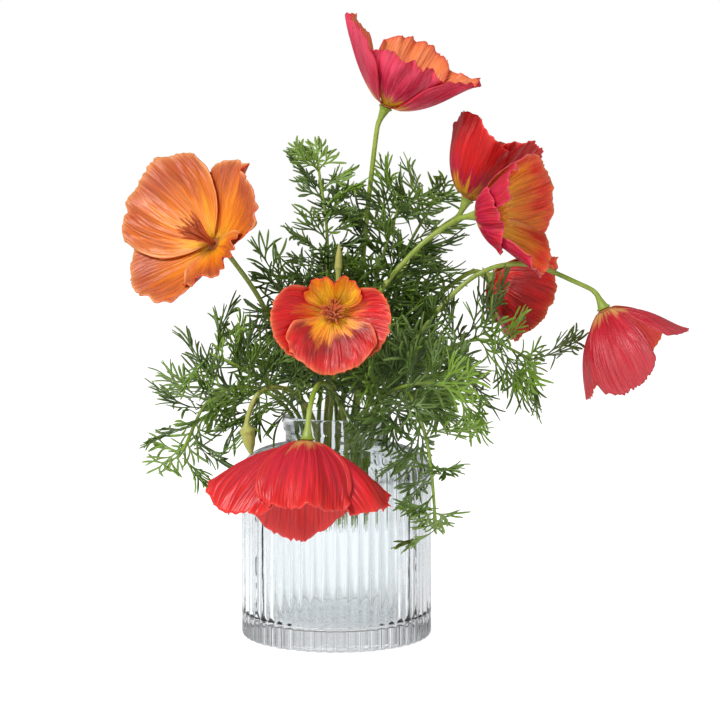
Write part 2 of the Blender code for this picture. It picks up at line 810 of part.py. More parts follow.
def main():
    clear_scene()
    parts = make_collection("poppies_in_jar")
    cutters = make_collection("cutters")
    glass = make_material("glass", (0.95, 0.97, 0.97), 0.05, transmission=1.0)
    stem_green = make_material("stem", (0.35, 0.45, 0.08), 0.5)
    leaf_green = make_material("leaf", (0.10, 0.25, 0.05), 0.55)
    bud_green = make_material("bud", (0.45, 0.45, 0.12), 0.5)
    materials = {"stamens": make_material("stamens", (0.85, 0.35, 0.03), 0.6)}
    for name, colour in PETAL_COLOURS.items():
        materials["petal_" + name] = make_material("petal_" + name, colour, 0.5)

    build_jar(parts, cutters, glass)
    flowers = []
    for name, flower in FLOWERS.items():
        flowers.extend(build_flower(name, flower, parts, materials))
    bpy.context.view_layer.update()
    blossoms = world_tree(flowers)

    routes = [stem_route(flower) for flower in FLOWERS.values()]
    routes += [bud_route(bud) for bud in BUDS.values()]
    routes += [in_metres(route) for route, _ in SHOOTS.values()]
    radii = [STEM_RADIUS] * len(FLOWERS) + [BUD_STALK_RADIUS] * len(BUDS) + [STALK_RADIUS] * len(SHOOTS)
    routes = iter(spread_routes([smooth_route(route, SPREAD_GAP) for route in routes], radii, blossoms))
    for name, flower in FLOWERS.items():
        build_stem(name, flower, thin_out(next(routes), STEM_POINT_GAP), parts, stem_green)
    for name, bud in BUDS.items():
        build_bud(name, bud, thin_out(next(routes), STEM_POINT_GAP), parts, bud_green)

    bpy.context.view_layer.update()
    solids = world_tree([piece for piece in parts.objects if piece.type != "EMPTY"])
    started = {name: start_shoot(name, thin_out(next(routes), SHOOT_POINT_GAP)) for name in SHOOTS}
    world = (solids, [shoot for shoot, _ in started.values()])
    for name, (shoot, chance) in started.items():
        grow_leaves(shoot, chance, SHOOTS[name][1], world)
        build_shoot(name, shoot, parts, leaf_green)


main()
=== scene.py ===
"""California poppies in a ribbed glass jar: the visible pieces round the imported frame.

Every length is in metres and +Z is up. The jar's foot stands at the origin.
"""

import math
import random

import bmesh
import bpy
from bpy.props import FloatProperty, FloatVectorProperty, IntProperty, PointerProperty
from mathutils import Matrix, Vector, noise
from mathutils.bvhtree import BVHTree
from mathutils.geometry import interpolate_bezier


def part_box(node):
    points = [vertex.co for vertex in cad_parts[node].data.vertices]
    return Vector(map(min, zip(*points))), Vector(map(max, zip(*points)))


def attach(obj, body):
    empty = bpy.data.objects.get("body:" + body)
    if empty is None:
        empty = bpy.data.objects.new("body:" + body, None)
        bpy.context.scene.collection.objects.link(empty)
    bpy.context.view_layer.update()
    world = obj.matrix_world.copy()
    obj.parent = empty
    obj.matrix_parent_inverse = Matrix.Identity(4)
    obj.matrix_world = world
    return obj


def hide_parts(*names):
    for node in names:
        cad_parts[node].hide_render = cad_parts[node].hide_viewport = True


bl_info = {
    "name": "Poppies in a jar",
    "version": (1, 0, 0),
    "blender": (4, 5, 0),
    "location": "3D View > Sidebar > Poppies",
    "description": "Builds a bunch of California poppies standing in a ribbed glass jar",
    "category": "Object",
}

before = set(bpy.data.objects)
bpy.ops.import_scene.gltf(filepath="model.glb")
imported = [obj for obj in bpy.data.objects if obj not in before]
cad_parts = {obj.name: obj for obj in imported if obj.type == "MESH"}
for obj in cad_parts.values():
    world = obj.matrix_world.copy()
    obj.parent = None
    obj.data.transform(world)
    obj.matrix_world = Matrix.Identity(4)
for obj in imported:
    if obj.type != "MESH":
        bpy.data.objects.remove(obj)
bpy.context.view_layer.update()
JAR_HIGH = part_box("jar")[1]
MM = 0.001
BODY = "root"

PETAL_FOOT_RADIUS = 2.9 * MM
PETAL_FOOT_HEIGHT = 0.9 * MM
PETAL_FOOT_WIDTH = 2.4 * MM
PETAL_LAYER = 1 * MM
LEAF_CLEARANCE = 2.6 * MM
MOUTH_CLEARANCE = 3 * MM
MOUTH_REACH = 26 * MM
STALK_RADIUS = 1.1 * MM
GOLDEN_ANGLE = 2.399963

# Each flower: its receptacle's face in millimetres, the way it faces, where azimuth 0 points, and its
# petals. A petal is azimuth, length, half width, its lean from the axis at foot, middle and tip, and how
# far its tip curls outwards. A fold sets length and leans between two petals in the same way. Then come
# the colours outside and inside, at the foot, low, in the middle, above it and at the edge. Some petals
# have special inside colours of their own, pleats says how much deeper than usual a flower's folds are,
# crown how much taller and wider its stamens stand, and pollen names their colour.
FLOWERS = {
    "top": {
        "at": (21.7, 0, 232),
        "faces": (0.42, -0.12, 0.9),
        "first": (-1, 0, 0),
        "petals": [
            (2, 42, 21, 62, 42, 30, -10),
            (92, 33, 23, 72, 42, 32, 10),
            (176, 42, 21, 76, 40, 38, 34),
            (258, 41, 18, 66, 36, 28, 10),
        ],
        "outside": ("yellow", "pink", "magenta", "pink", "rose"),
        "inside": ("yellow", "orange", "peach", "peach", "coral"),
        "pleats": 1.5,
    },
    "left": {
        "at": (-52, -13, 172),
        "faces": (-0.58, -0.68, 0.45),
        "first": (0, 0, 1),
        "petals": [
            (326, 36, 23, 74, 62, 50, 6),
            (60, 46, 27, 70, 60, 62, 10),
            (136, 38, 21, 74, 64, 62, 0),
            (224, 26, 19, 78, 66, 62, -10),
        ],
        "outside": ("yellow", "amber", "clay", "clay", "scarlet"),
        "inside": ("yellow", "amber", "ochre", "clay", "cream"),
        "pleats": 1.7,
        "crown": (2, 1.4),
        "pollen": "ripe",
    },
    "front": {
        "at": (-1, -49, 144),
        "faces": (0.02, -0.95, 0.3),
        "first": (1, 0, 0),
        "petals": [
            (338, 24, 18, 78, 70, 70, 12),
            (88, 17, 12, 60, 30, 20, 10),
            (198, 25, 18, 78, 70, 70, 12),
            (268, 25, 23, 80, 77, 80, 12),
        ],
        "folds": [(46, 19, 0, 70, 46, 36), (134, 19, 0, 70, 46, 36)],
        "outside": ("yellow", "scarlet", "red", "red", "coral"),
        "inside": ("yellow", "amber", "garnet", "red", "peach"),
        "special": {
            1: ("yellow", "orange", "red", "red", "peach"),
            2: ("yellow", "yellow", "yellow", "amber", "scarlet"),
            3: ("yellow", "orange", "red", "red", "peach"),
        },
        "crown": (0.7, 1.4),
        "pollen": "ripe",
    },
    "hanging": {
        "at": (-11, -72, 94.5),
        "faces": (-0.06, -0.16, -0.98),
        "first": (0.1, -1, 0),
        "petals": [
            (4, 43, 21, 78, 44, 30, 10),
            (74, 47, 26, 80, 48, 24, -10),
            (180, 52, 17, 74, 26, 4, 20),
            (292, 43, 24, 80, 50, 24, 8),
        ],
        "folds": [
            (42, 48, 0, 76, 37, 16),
            (118, 44, 0, 84, 62, 48),
            (240, 42, 0, 82, 58, 46),
            (328, 42, 0, 78, 38, 20),
        ],
        "outside": ("straw", "rose", "rose", "red", "coral"),
        "inside": ("amber", "scarlet", "red", "red", "coral"),
        "pleats": 1.5,
    },
    "upper_right": {
        "at": (58, 12, 192),
        "faces": (0.44, 0.05, 0.9),
        "first": (-1, 0, 0),
        "petals": [
            (44, 39, 20, 62, 22, 0, 6),
            (148, 41, 18, 64, 24, 10, 10),
            (222, 39, 18, 60, 22, 10, 10),
            (314, 36, 18, 60, 22, 8, 10),
        ],
        "folds": [(90, 36, 0, 64, 40, 30)],
        "outside": ("yellow", "magenta", "red", "red", "coral"),
        "inside": ("yellow", "amber", "amber", "orange", "scarlet"),
        "crown": (1, 1.2),
    },
    "right": {
        "at": (61, -20, 185),
        "faces": (0.88, -0.45, 0.12),
        "first": (0, 1, 0.2),
        "petals": [
            (8, 38, 22, 72, 46, 40, 20),
            (98, 28, 16, 72, 34, 24, 10),
            (190, 19, 14, 74, 26, 4, -6),
            (276, 37, 20, 76, 46, 40, 10),
        ],
        "outside": ("straw", "magenta", "magenta", "rose", "pink"),
        "inside": ("yellow", "yellow", "amber", "scarlet", "peach"),
        "crown": (1.35, 1.7),
    },
    "back_right": {
        "at": (70, 32, 156),
        "faces": (0.80, 0.25, -0.42),
        "first": (0, -1, 0),
        "petals": [
            (0, 31, 19, 68, 30, 20, 10),
            (90, 30, 18, 68, 36, 28, 20),
            (180, 31, 19, 66, 36, 26, 10),
            (270, 31, 19, 66, 38, 28, 10),
        ],
        "outside": ("scarlet", "red", "garnet", "red", "peach"),
        "inside": ("yellow", "orange", "scarlet", "scarlet", "peach"),
    },
    "far_right": {
        "at": (117, -4, 144),
        "faces": (0.44, -0.06, -0.9),
        "first": (0, -1, 0),
        "petals": [
            (16, 43, 14, 66, 26, 2, -10),
            (98, 41, 14, 68, 30, 14, 0),
            (188, 35, 16, 66, 22, 8, 10),
            (278, 37, 15, 80, 44, 30, 30),
        ],
        "outside": ("straw", "rose", "rose", "blush", "blush"),
        "inside": ("yellow", "orange", "coral", "coral", "orange"),
        "pleats": 0.7,
    },
}

# Leafy shoots: the stalk's route in millimetres, how long its fronds are, and how far apart they stand,
# compared with the usual spacing.
SHOOTS = {
    "upper_left": ([(-7, 3, 50), (-8, 6, 92), (-5, 6, 130), (-4, 2, 175), (-8, -2, 208)], 26, 0.8),
    "top": ([(-1, -1, 50), (1, -2, 92), (10, 2, 130), (20, 10, 165), (28, 14, 190)], 40, 0.8),
    "upper_right": ([(5, 5, 50), (6, 4, 92), (20, 14, 125), (30, 26, 165), (42, 30, 188)], 38, 0.8),
    "right": ([(11, 4, 50), (15, 6, 92), (32, 10, 116), (62, 4, 130), (86, -4, 122)], 38, 0.85),
    "right_front": ([(9, -9, 50), (12, -11, 92), (28, -36, 112), (38, -54, 92), (42, -56, 56)], 30, 1.5),
    "left": ([(-12, -3, 50), (-17, -3, 92), (-34, -12, 110), (-54, -18, 106), (-66, -22, 84)], 32, 0.9),
    "front_left": (
        [(-10, -7, 50), (-14, -9, 92), (-28, -22, 112), (-44, -26, 122), (-54, -24, 126)],
        34,
        1,
    ),
    "front_right": ([(8, -11, 50), (8, -14, 92), (21, -40, 110), (36, -52, 116), (48, -48, 114)], 34, 1),
    "back": ([(0, 14, 50), (0, 17, 92), (-4, 34, 118), (-16, 50, 140), (-24, 54, 146)], 38, 1),
}


# ---------------------------------------------------------------- settings


def tint(name, colour, description):
    return FloatVectorProperty(
        name=name, description=description, default=colour, size=3, min=0, max=1, subtype="COLOR"
    )


def length(name, value, description):
    return FloatProperty(name=name, description=description, default=value, min=0, unit="LENGTH")


def share(name, value, description):
    return FloatProperty(
        name=name, description=description, default=value, min=0, max=1, subtype="FACTOR"
    )


def count(name, value, description):
    return IntProperty(name=name, description=description, default=value, min=1)


def power(name, value, description):
    return FloatProperty(name=name, description=description, default=value, min=0, unit="POWER")


class JarSettings(bpy.types.PropertyGroup):
    radius: length("Radius", JAR_HIGH.x, "Outside radius of the jar's body")
    height: length("Height", JAR_HIGH.z, "Height of the jar to its rim")
    wall: length("Wall", 2.6 * MM, "Thickness of the glass in the body")
    floor: length("Floor", 8 * MM, "Thickness of the glass under the hollow")
    neck: length("Neck radius", 22.5 * MM, "Outside radius of the neck")
    neck_foot: length("Neck height", 84 * MM, "Where the shoulder meets the neck")
    shoulder: length("Shoulder height", 73 * MM, "Where the straight side ends")
    collar: length("Collar", 6 * MM, "Height of the thicker collar at the rim")
    ribs: count("Ribs", 54, "Upright ribs round the body")
    rib_depth: length("Rib depth", 1.3 * MM, "How far the hollows between ribs go in")
    glass: tint("Glass", (0.90, 0.935, 0.955), "Colour of the glass")


class PetalSettings(bpy.types.PropertyGroup):
    thickness: length("Thickness", 0.4 * MM, "Thickness of a petal")
    pleat: length("Pleats", 1.3 * MM, "Height of the broad folds that run from foot to edge")
    narrow: length("Narrow pleats", 0.3 * MM, "Height of the narrow pleats between the broad folds")
    ruffle: length("Ruffle", 1.9 * MM, "Height of the small waves at the edge")
    columns: count("Columns", 60, "Faces across a petal")
    rows: count("Rows", 30, "Faces from foot to edge")
    veins: count("Veins", 46, "Fine veins across a petal")


class PaletteSettings(bpy.types.PropertyGroup):
    yellow: tint("Yellow", (0.93, 0.45, 0.012), "Foot of the petals")
    straw: tint("Straw", (0.85, 0.42, 0.12), "Pale foot of the pink petals")
    amber: tint("Amber", (0.92, 0.28, 0.008), "Golden orange")
    orange: tint("Orange", (0.84, 0.125, 0.003), "Clear orange")
    cream: tint("Cream", (0.88, 0.38, 0.12), "Pale edge of the orange petals")
    peach: tint("Peach", (0.92, 0.25, 0.08), "Pale orange of an edge")
    ochre: tint("Ochre", (0.74, 0.17, 0.009), "Golden brown orange")
    clay: tint("Clay", (0.50, 0.09, 0.026), "Brown pink blush")
    scarlet: tint("Scarlet", (0.80, 0.028, 0.004), "Orange red")
    red: tint("Red", (0.66, 0.005, 0.006), "Satin red")
    garnet: tint("Garnet", (0.30, 0.004, 0.003), "Dark red")
    coral: tint("Coral", (0.82, 0.042, 0.03), "Pink orange")
    rose: tint("Rose", (0.58, 0.009, 0.028), "Pink red")
    blush: tint("Blush", (0.56, 0.045, 0.06), "Dusty pink")
    pink: tint("Pink", (0.80, 0.055, 0.12), "Clear pink")
    magenta: tint("Magenta", (0.55, 0.008, 0.05), "Deep pink")


class StamenSettings(bpy.types.PropertyGroup):
    count: count("Stamens", 38, "Stamens in a flower")
    height: length("Height", 10.5 * MM, "Height of the crown of stamens")
    spread: length("Spread", 4.2 * MM, "How far the tips stand from the middle")
    fresh: tint("Fresh pollen", (0.92, 0.38, 0.03), "Colour of young anthers")
    ripe: tint("Ripe pollen", (0.52, 0.10, 0.005), "Colour of anthers that have shed")
    stalk: tint("Stalk", (0.45, 0.13, 0.02), "Colour of the stamens' feet")


class StemSettings(bpy.types.PropertyGroup):
    smoothness: count("Smoothness", 2, "Rounds of smoothing on stems and buds")
    stem: tint("Stem", (0.24, 0.34, 0.03), "Colour of the stems")
    pale: tint("Pale stem", (0.38, 0.46, 0.10), "Colour of the waxy bloom on the stems")
    flange: tint("Flange", (0.36, 0.10, 0.05), "Colour of the flange that the petals stand on")
    bud: tint("Bud", (0.42, 0.40, 0.10), "Colour of the buds")


class LeafSettings(bpy.types.PropertyGroup):
    lobe: length("Lobe half width", 0.5 * MM, "Half the width of a lobe")
    thickness: length("Thickness", 0.32 * MM, "Thickness of the lobes")
    spacing: length("Spacing", 3.1 * MM, "Distance between fronds along a stalk")
    # Dark leaf and light leaf are the two ends of each frond's tone. The darkest fronds are partly painted
    # shade, and fronds grow lighter up the stalk.
    dark: tint("Dark leaf", (0.008, 0.032, 0.002), "Colour of the older fronds")
    light: tint("Light leaf", (0.18, 0.31, 0.024), "Colour of the younger fronds")
    bloom: tint("Bloom", (0.22, 0.33, 0.10), "Grey green of the waxy bloom")


class StageSettings(bpy.types.PropertyGroup):
    floor: tint("Floor", (0.92, 0.92, 0.92), "Colour of the floor")
    sky: share("Surround", 0.36, "Brightness of the white surround")
    key: power("Key light", 11, "Power of the main soft light")
    fill: power("Fill light", 1.5, "Power of the second light")


# ---------------------------------------------------------------- material helpers


def add_node(tree, kind, **settings):
    made = tree.nodes.new("ShaderNode" + kind)
    for name, value in settings.items():
        if name.startswith("in_"):
            made.inputs[name[3:].replace("_", " ")].default_value = value
        else:
            setattr(made, name, value)
    return made


def join(tree, source, target):
    tree.links.new(source, target)


def start_material(name, roughness, **sockets):
    """A material with its one main shader, and that shader's plain settings."""
    made = bpy.data.materials.new(name)
    made.use_nodes = True
    tree = made.node_tree
    shader = tree.nodes["Principled BSDF"]
    shader.inputs["Roughness"].default_value = roughness
    for title, value in sockets.items():
        shader.inputs[title.replace("_", " ")].default_value = value
    return made, tree, shader


def start_group(name, inputs, outputs):
    """An empty shader node group with named number sockets."""
    group = bpy.data.node_groups.new(name, "ShaderNodeTree")
    for title, value in inputs.items():
        kind = "NodeSocketFloat" if isinstance(value, (int, float)) else "NodeSocketColor"
        socket = group.interface.new_socket(title, in_out="INPUT", socket_type=kind)
        socket.default_value = value
    for title in outputs:
        kind = "NodeSocketColor" if title == "Color" else "NodeSocketFloat"
        group.interface.new_socket(title, in_out="OUTPUT", socket_type=kind)
    return group, group.nodes.new("NodeGroupInput"), group.nodes.new("NodeGroupOutput")


def add_group(tree, group, **values):
    made = tree.nodes.new("ShaderNodeGroup")
    made.node_tree = group
    for title, value in values.items():
        made.inputs[title.replace("_", " ")].default_value = value
    return made


def calculate(tree, operation, first, second):
    """A Math node on two values, each a socket or a number."""
    made = add_node(tree, "Math", operation=operation)
    for slot, value in enumerate((first, second)):
        if isinstance(value, (int, float)):
            made.inputs[slot].default_value = value
        else:
            join(tree, value, made.inputs[slot])
    return made.outputs[0]


def mix_colours(tree, factor, first, second, blend="MIX"):
    made = add_node(tree, "Mix", data_type="RGBA", blend_type=blend)
    for slot, value in ((0, factor), (6, first), (7, second)):
        if isinstance(value, (int, float)):
            made.inputs[slot].default_value = value
        elif isinstance(value, bpy.types.NodeSocket):
            join(tree, value, made.inputs[slot])
        else:
            made.inputs[slot].default_value = (*value, 1)
    return made.outputs[2]


def petal_grain_group():
    """Veins that run from a petal's foot to its edge, from its across and along values."""
    if "petal_grain" in bpy.data.node_groups:
        return bpy.data.node_groups["petal_grain"]
    group, given, out = start_group(
        "petal_grain", {"Across": 0.5, "Along": 0.5, "Veins": 46.0, "Seed": 0.0}, ("Streak", "Vein")
    )
    wide = add_node(group, "CombineXYZ")
    join(group, calculate(group, "MULTIPLY", given.outputs["Across"], 9.0), wide.inputs[0])
    join(group, calculate(group, "MULTIPLY", given.outputs["Along"], 1.6), wide.inputs[1])
    join(group, given.outputs["Seed"], wide.inputs[2])
    streak = add_node(group, "TexNoise", in_Scale=1.0, in_Detail=4.0, in_Roughness=0.6)
    join(group, wide.outputs[0], streak.inputs["Vector"])
    fine = add_node(group, "CombineXYZ")
    spaced = calculate(group, "MULTIPLY", given.outputs["Across"], given.outputs["Veins"])
    join(group, spaced, fine.inputs[0])
    join(group, calculate(group, "MULTIPLY", given.outputs["Along"], 2.2), fine.inputs[1])
    join(group, given.outputs["Seed"], fine.inputs[2])
    vein = add_node(group, "TexNoise", in_Scale=1.0, in_Detail=2.0, in_Roughness=0.5)
    join(group, fine.outputs[0], vein.inputs["Vector"])
    join(group, streak.outputs[0], out.inputs["Streak"])
    join(group, vein.outputs[0], out.inputs["Vein"])
    return group


def waxy_bloom_group():
    """The cloudy waxy bloom on stems and leaves, and a fine grain."""
    if "waxy_bloom" in bpy.data.node_groups:
        return bpy.data.node_groups["waxy_bloom"]
    group, given, out = start_group("waxy_bloom", {"Scale": 200.0, "Amount": 0.5}, ("Mask", "Grain"))
    place = add_node(group, "TexCoord")
    cloud = add_node(group, "TexNoise", in_Detail=3.0, in_Roughness=0.55)
    join(group, place.outputs["Object"], cloud.inputs["Vector"])
    join(group, given.outputs["Scale"], cloud.inputs["Scale"])
    spread = add_node(group, "MapRange", in_From_Min=0.4, in_From_Max=0.68)
    join(group, cloud.outputs[0], spread.inputs["Value"])
    mask = calculate(group, "MULTIPLY", spread.outputs[0], given.outputs["Amount"])
    join(group, mask, out.inputs["Mask"])
    grain = add_node(group, "TexNoise", in_Detail=2.0)
    join(group, place.outputs["Object"], grain.inputs["Vector"])
    join(group, calculate(group, "MULTIPLY", given.outputs["Scale"], 9.0), grain.inputs["Scale"])
    join(group, grain.outputs[0], out.inputs["Grain"])
    return group


def add_bump(tree, shader, height, strength, distance):
    bump = add_node(tree, "Bump", in_Strength=strength, in_Distance=distance)
    join(tree, height, bump.inputs["Height"])
    join(tree, bump.outputs[0], shader.inputs["Normal"])


def petal_material(name, colours, seed, veins):
    """Satin petal: colours run from foot to edge in streaks, partly the petal's own streaks and partly a
    painted satin sheen, with fine veins.
    """
    made, tree, shader = start_material(
        name,
        0.4,
        Subsurface_Weight=0.06,
        Subsurface_Radius=(0.006, 0.0012, 0.0008),
        Subsurface_Scale=0.4,
        Specular_IOR_Level=0.5,
    )
    place = add_node(tree, "TexCoord")
    split = add_node(tree, "SeparateXYZ")
    join(tree, place.outputs["UV"], split.inputs[0])
    across, along = split.outputs[0], split.outputs[1]
    grain = add_group(tree, petal_grain_group(), Veins=float(veins), Seed=seed)
    join(tree, across, grain.inputs["Across"])
    join(tree, along, grain.inputs["Along"])
    # The streaks shift the colour along the ramp: partly the petal's own colour streaks, partly a painted
    # satin sheen.
    shifted = calculate(tree, "SUBTRACT", grain.outputs["Streak"], 0.5)
    shifted = calculate(tree, "MULTIPLY", shifted, 1.1)
    factor = calculate(tree, "ADD", along, shifted)
    ramp = add_node(tree, "ValToRGB")
    stops = ramp.color_ramp.elements
    stops[0].position, stops[0].color = 0.06, (*colours[0], 1)
    stops[1].position, stops[1].color = 0.86, (*colours[3], 1)
    for position, colour in ((0.26, colours[1]), (0.48, colours[2])):
        stops.new(position).color = (*colour, 1)
    join(tree, factor, ramp.inputs[0])
    off_centre = calculate(tree, "ABSOLUTE", calculate(tree, "SUBTRACT", across, 0.5), 0.0)
    side = calculate(tree, "POWER", calculate(tree, "MULTIPLY", off_centre, 2.0), 18.0)
    rim = calculate(tree, "MAXIMUM", side, calculate(tree, "POWER", along, 20.0))
    edged = mix_colours(tree, calculate(tree, "MULTIPLY", rim, 0.8), ramp.outputs[0], colours[4])
    vein = add_node(tree, "MapRange", in_From_Min=0.34, in_From_Max=0.68, in_To_Min=0.6, in_To_Max=1.25)
    join(tree, grain.outputs["Vein"], vein.inputs["Value"])
    shade = add_node(tree, "CombineXYZ")
    for slot in range(3):
        join(tree, vein.outputs[0], shade.inputs[slot])
    veined = mix_colours(tree, 0.6, edged, shade.outputs[0], "MULTIPLY")
    join(tree, veined, shader.inputs["Base Color"])
    rough = add_node(tree, "MapRange", in_To_Min=0.3, in_To_Max=0.52)
    join(tree, grain.outputs["Streak"], rough.inputs["Value"])
    join(tree, rough.outputs[0], shader.inputs["Roughness"])
    add_bump(tree, shader, grain.outputs["Vein"], 0.9, 0.0009)
    return made


def green_material(name, base, pale, scale, amount, roughness):
    """Waxy green skin with a cloudy bloom and a fine grain."""
    made, tree, shader = start_material(
        name,
        roughness,
        Subsurface_Weight=0.12,
        Subsurface_Radius=(0.002, 0.003, 0.001),
        Subsurface_Scale=0.4,
    )
    bloom = add_group(tree, waxy_bloom_group(), Scale=scale, Amount=amount)
    coloured = mix_colours(tree, bloom.outputs["Mask"], base, pale)
    join(tree, coloured, shader.inputs["Base Color"])
    rough = add_node(tree, "MapRange", in_To_Min=roughness - 0.1, in_To_Max=roughness + 0.15)
    join(tree, bloom.outputs["Mask"], rough.inputs["Value"])
    join(tree, rough.outputs[0], shader.inputs["Roughness"])
    add_bump(tree, shader, bloom.outputs["Grain"], 0.25, 0.0003)
    return made


# ---------------------------------------------------------------- mesh helpers


def link_object(name, data):
    made = bpy.data.objects.new(name, data)
    bpy.context.scene.collection.objects.link(made)
    return made


def seat(piece, slot, *nodes):
    """Puts a finished piece on the body, in place of its solids."""
    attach(piece, BODY)
    if nodes:
        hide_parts(*nodes)
    return piece


def smooth_route(points, gap):
    """Points about one gap apart along a smooth curve that passes through the given ones."""
    last = len(points) - 1
    slopes = []
    for i in range(last + 1):
        span = 2 if 0 < i < last else 1
        slopes.append((points[min(i + 1, last)] - points[max(i - 1, 0)]) / span)
    route = [points[0]]
    for i in range(last):
        start, end = points[i], points[i + 1]
        pieces = max(2, round((end - start).length / gap))
        curve = interpolate_bezier(start, start + slopes[i] / 3, end - slopes[i + 1] / 3, end, pieces + 1)
        route.extend(curve[1:])
    return route


def add_tube(shell, sections, sides):
    """Adds a closed round tube along (point, radius) sections to a bmesh."""
    side = None
    rings = []
    for number, (point, radius) in enumerate(sections):
        before = sections[max(number - 1, 0)][0]
        after = sections[min(number + 1, len(sections) - 1)][0]
        along = (after - before).normalized()
        side = along.orthogonal() if side is None else side - along * side.dot(along)
        side.normalize()
        up = along.cross(side)
        turns = [2 * math.pi * k / sides for k in range(sides)]
        corners = [point + (side * math.cos(t) + up * math.sin(t)) * radius for t in turns]
        rings.append([shell.verts.new(corner) for corner in corners])
    for lower, upper in zip(rings, rings[1:]):
        for k in range(sides):
            shell.faces.new((lower[k], lower[(k + 1) % sides], upper[(k + 1) % sides], upper[k]))
    shell.faces.new(reversed(rings[0]))
    shell.faces.new(rings[-1])


def finish_shell(shell, name):
    mesh = bpy.data.meshes.new(name)
    shell.to_mesh(mesh)
    shell.free()
    mesh.shade_smooth()
    return mesh


# ---------------------------------------------------------------- jar


def jar_outside(jar):
    """The profile of the outside, from the middle of the foot to the rim, with the ribs' depth."""
    foot = 1.4 * MM
    points = [(r * jar.radius, 0, 0) for r in (0.0, 0.3, 0.6, 0.8)]
    for step in range(7):
        angle = math.pi / 2 * step / 6
        reach = jar.radius - foot + foot * math.sin(angle)
        points.append((reach, foot - foot * math.cos(angle), 1))
    points += [(jar.radius, foot + (jar.shoulder - foot) * step / 14, 1) for step in range(1, 15)]
    across, up = jar.radius - jar.neck, jar.neck_foot - jar.shoulder
    for step in range(1, 15):
        angle = math.pi / 2 * step / 14
        depth = max(0, 1 - step / 5)
        points.append((jar.neck + across * math.cos(angle), jar.shoulder + up * math.sin(angle), depth))
    collar = jar.height - jar.collar
    lip = 1.1 * MM
    points += [(jar.neck, jar.neck_foot + 1 * MM, 0), (jar.neck, collar - 1.6 * MM, 0)]
    points += [(jar.neck + 0.35 * MM, collar - 0.8 * MM, 0), (jar.neck + 0.9 * MM, collar, 0)]
    points += [(jar.neck + 1 * MM, collar + 0.8 * MM, 0), (jar.neck + 1 * MM, jar.height - lip, 0)]
    for step in range(1, 6):
        angle = math.pi / 2 * step / 5
        reach = jar.neck + 1 * MM - lip * (1 - math.cos(angle))
        points.append((reach, jar.height - lip + lip * math.sin(angle), 0))
    return points


def jar_inside(jar):
    """The profile of the hollow, from the rim down to the middle of the floor."""
    neck, body = jar.neck - 2.2 * MM, jar.radius - jar.wall
    bend = 5 * MM
    lip = 1 * MM
    points = []
    for angle in (0.4, 0.8, 1.2):
        reach = neck + lip * (1 - math.sin(angle))
        points.append((reach, jar.height - lip * (1 - math.cos(angle)), 0))
    points += [(neck, jar.height - 1.5 * MM, 0), (neck, jar.neck_foot, 0)]
    across, up = body - neck, jar.neck_foot - jar.shoulder
    for step in range(1, 13):
        angle = math.pi / 2 * (1 - step / 12)
        points.append((neck + across * math.cos(angle), jar.shoulder - 2.2 * MM + up * math.sin(angle), 0))
    drop = jar.floor + bend - jar.shoulder
    points += [(body, jar.shoulder + drop * step / 8, 0) for step in range(1, 9)]
    for step in range(1, 8):
        angle = math.pi / 2 * step / 7
        points.append((body - bend + bend * math.cos(angle), jar.floor + bend - bend * math.sin(angle), 0))
    points += [(body * r, jar.floor + 0.4 * MM * (1 - r), 0) for r in (0.7, 0.4, 0.0)]
    return points


def build_jar(jar):
    """The whole jar as one closed shell of glass: ribbed outside, plain inside."""
    columns = jar.ribs * 8
    profile = jar_outside(jar) + jar_inside(jar)
    shell = bmesh.new()
    rings = []
    for reach, height, depth in profile:
        if reach < 1e-6:
            rings.append([shell.verts.new((0, 0, height))])
            continue
        ring = []
        for column in range(columns):
            turn = 2 * math.pi * column / columns
            hollow = 1 - abs(math.cos(turn * jar.ribs / 2))
            radius = reach - jar.rib_depth * depth * hollow
            ring.append(shell.verts.new((radius * math.cos(turn), radius * math.sin(turn), height)))
        rings.append(ring)
    for lower, upper in zip(rings, rings[1:]):
        for column in range(columns):
            after = (column + 1) % columns
            corners = [lower[column % len(lower)], lower[after % len(lower)]]
            corners += [upper[after % len(upper)], upper[column % len(upper)]]
            kept = []
            for corner in corners:
                if corner not in kept:
                    kept.append(corner)
            shell.faces.new(kept)
    bmesh.ops.recalc_face_normals(shell, faces=shell.faces)
    return finish_shell(shell, "jar_glass")


def glass_material(jar):
    """Clear pressed glass, a little wavy."""
    made, tree, shader = start_material("pressed_glass", 0.02, Transmission_Weight=1.0, IOR=1.47)
    place = add_node(tree, "TexCoord")
    wave = add_node(tree, "TexNoise", in_Scale=70.0, in_Detail=2.0)
    join(tree, place.outputs["Object"], wave.inputs["Vector"])
    bright = tuple(min(1, value * 1.04) for value in jar.glass)
    join(tree, mix_colours(tree, wave.outputs[0], jar.glass, bright), shader.inputs["Base Color"])
    add_bump(tree, shader, wave.outputs[0], 0.35, 0.0008)
    return made


# ---------------------------------------------------------------- petals


def blend_petals(flower, azimuth):
    """Length and the three leans at an azimuth, easing from one petal or fold to the next."""
    ordered = sorted(flower["petals"] + flower.get("folds", []))
    for number, petal in enumerate(ordered):
        after = ordered[(number + 1) % len(ordered)]
        span = (after[0] - petal[0]) % 360
        offset = (azimuth - petal[0]) % 360
        if offset <= span:
            ease = 0.5 - 0.5 * math.cos(math.pi * offset / span)
            mix = [a + (b - a) * ease for a, b in zip(petal, after)]
            return mix[1] * MM, [math.radians(lean) for lean in mix[3:6]]
    raise ValueError("no petal spans this azimuth")


def meridian(leans, petal_length, reach, curl):
    """Radius, height and lean at a reach up the petal, by summing its lean along the way."""
    steps = 12
    radius, height = PETAL_FOOT_RADIUS, PETAL_FOOT_HEIGHT
    foot, middle, tip = leans
    for step in range(steps):
        along = reach / petal_length * (step + 0.5) / steps
        lean = foot * (1 - along) * (1 - 2 * along) + 4 * middle * along * (1 - along)
        lean += tip * along * (2 * along - 1)
        lean += curl * max(0, (along - 0.7) / 0.3) ** 2
        radius += math.sin(lean) * reach / steps
        height += math.cos(lean) * reach / steps
    return radius, height, lean


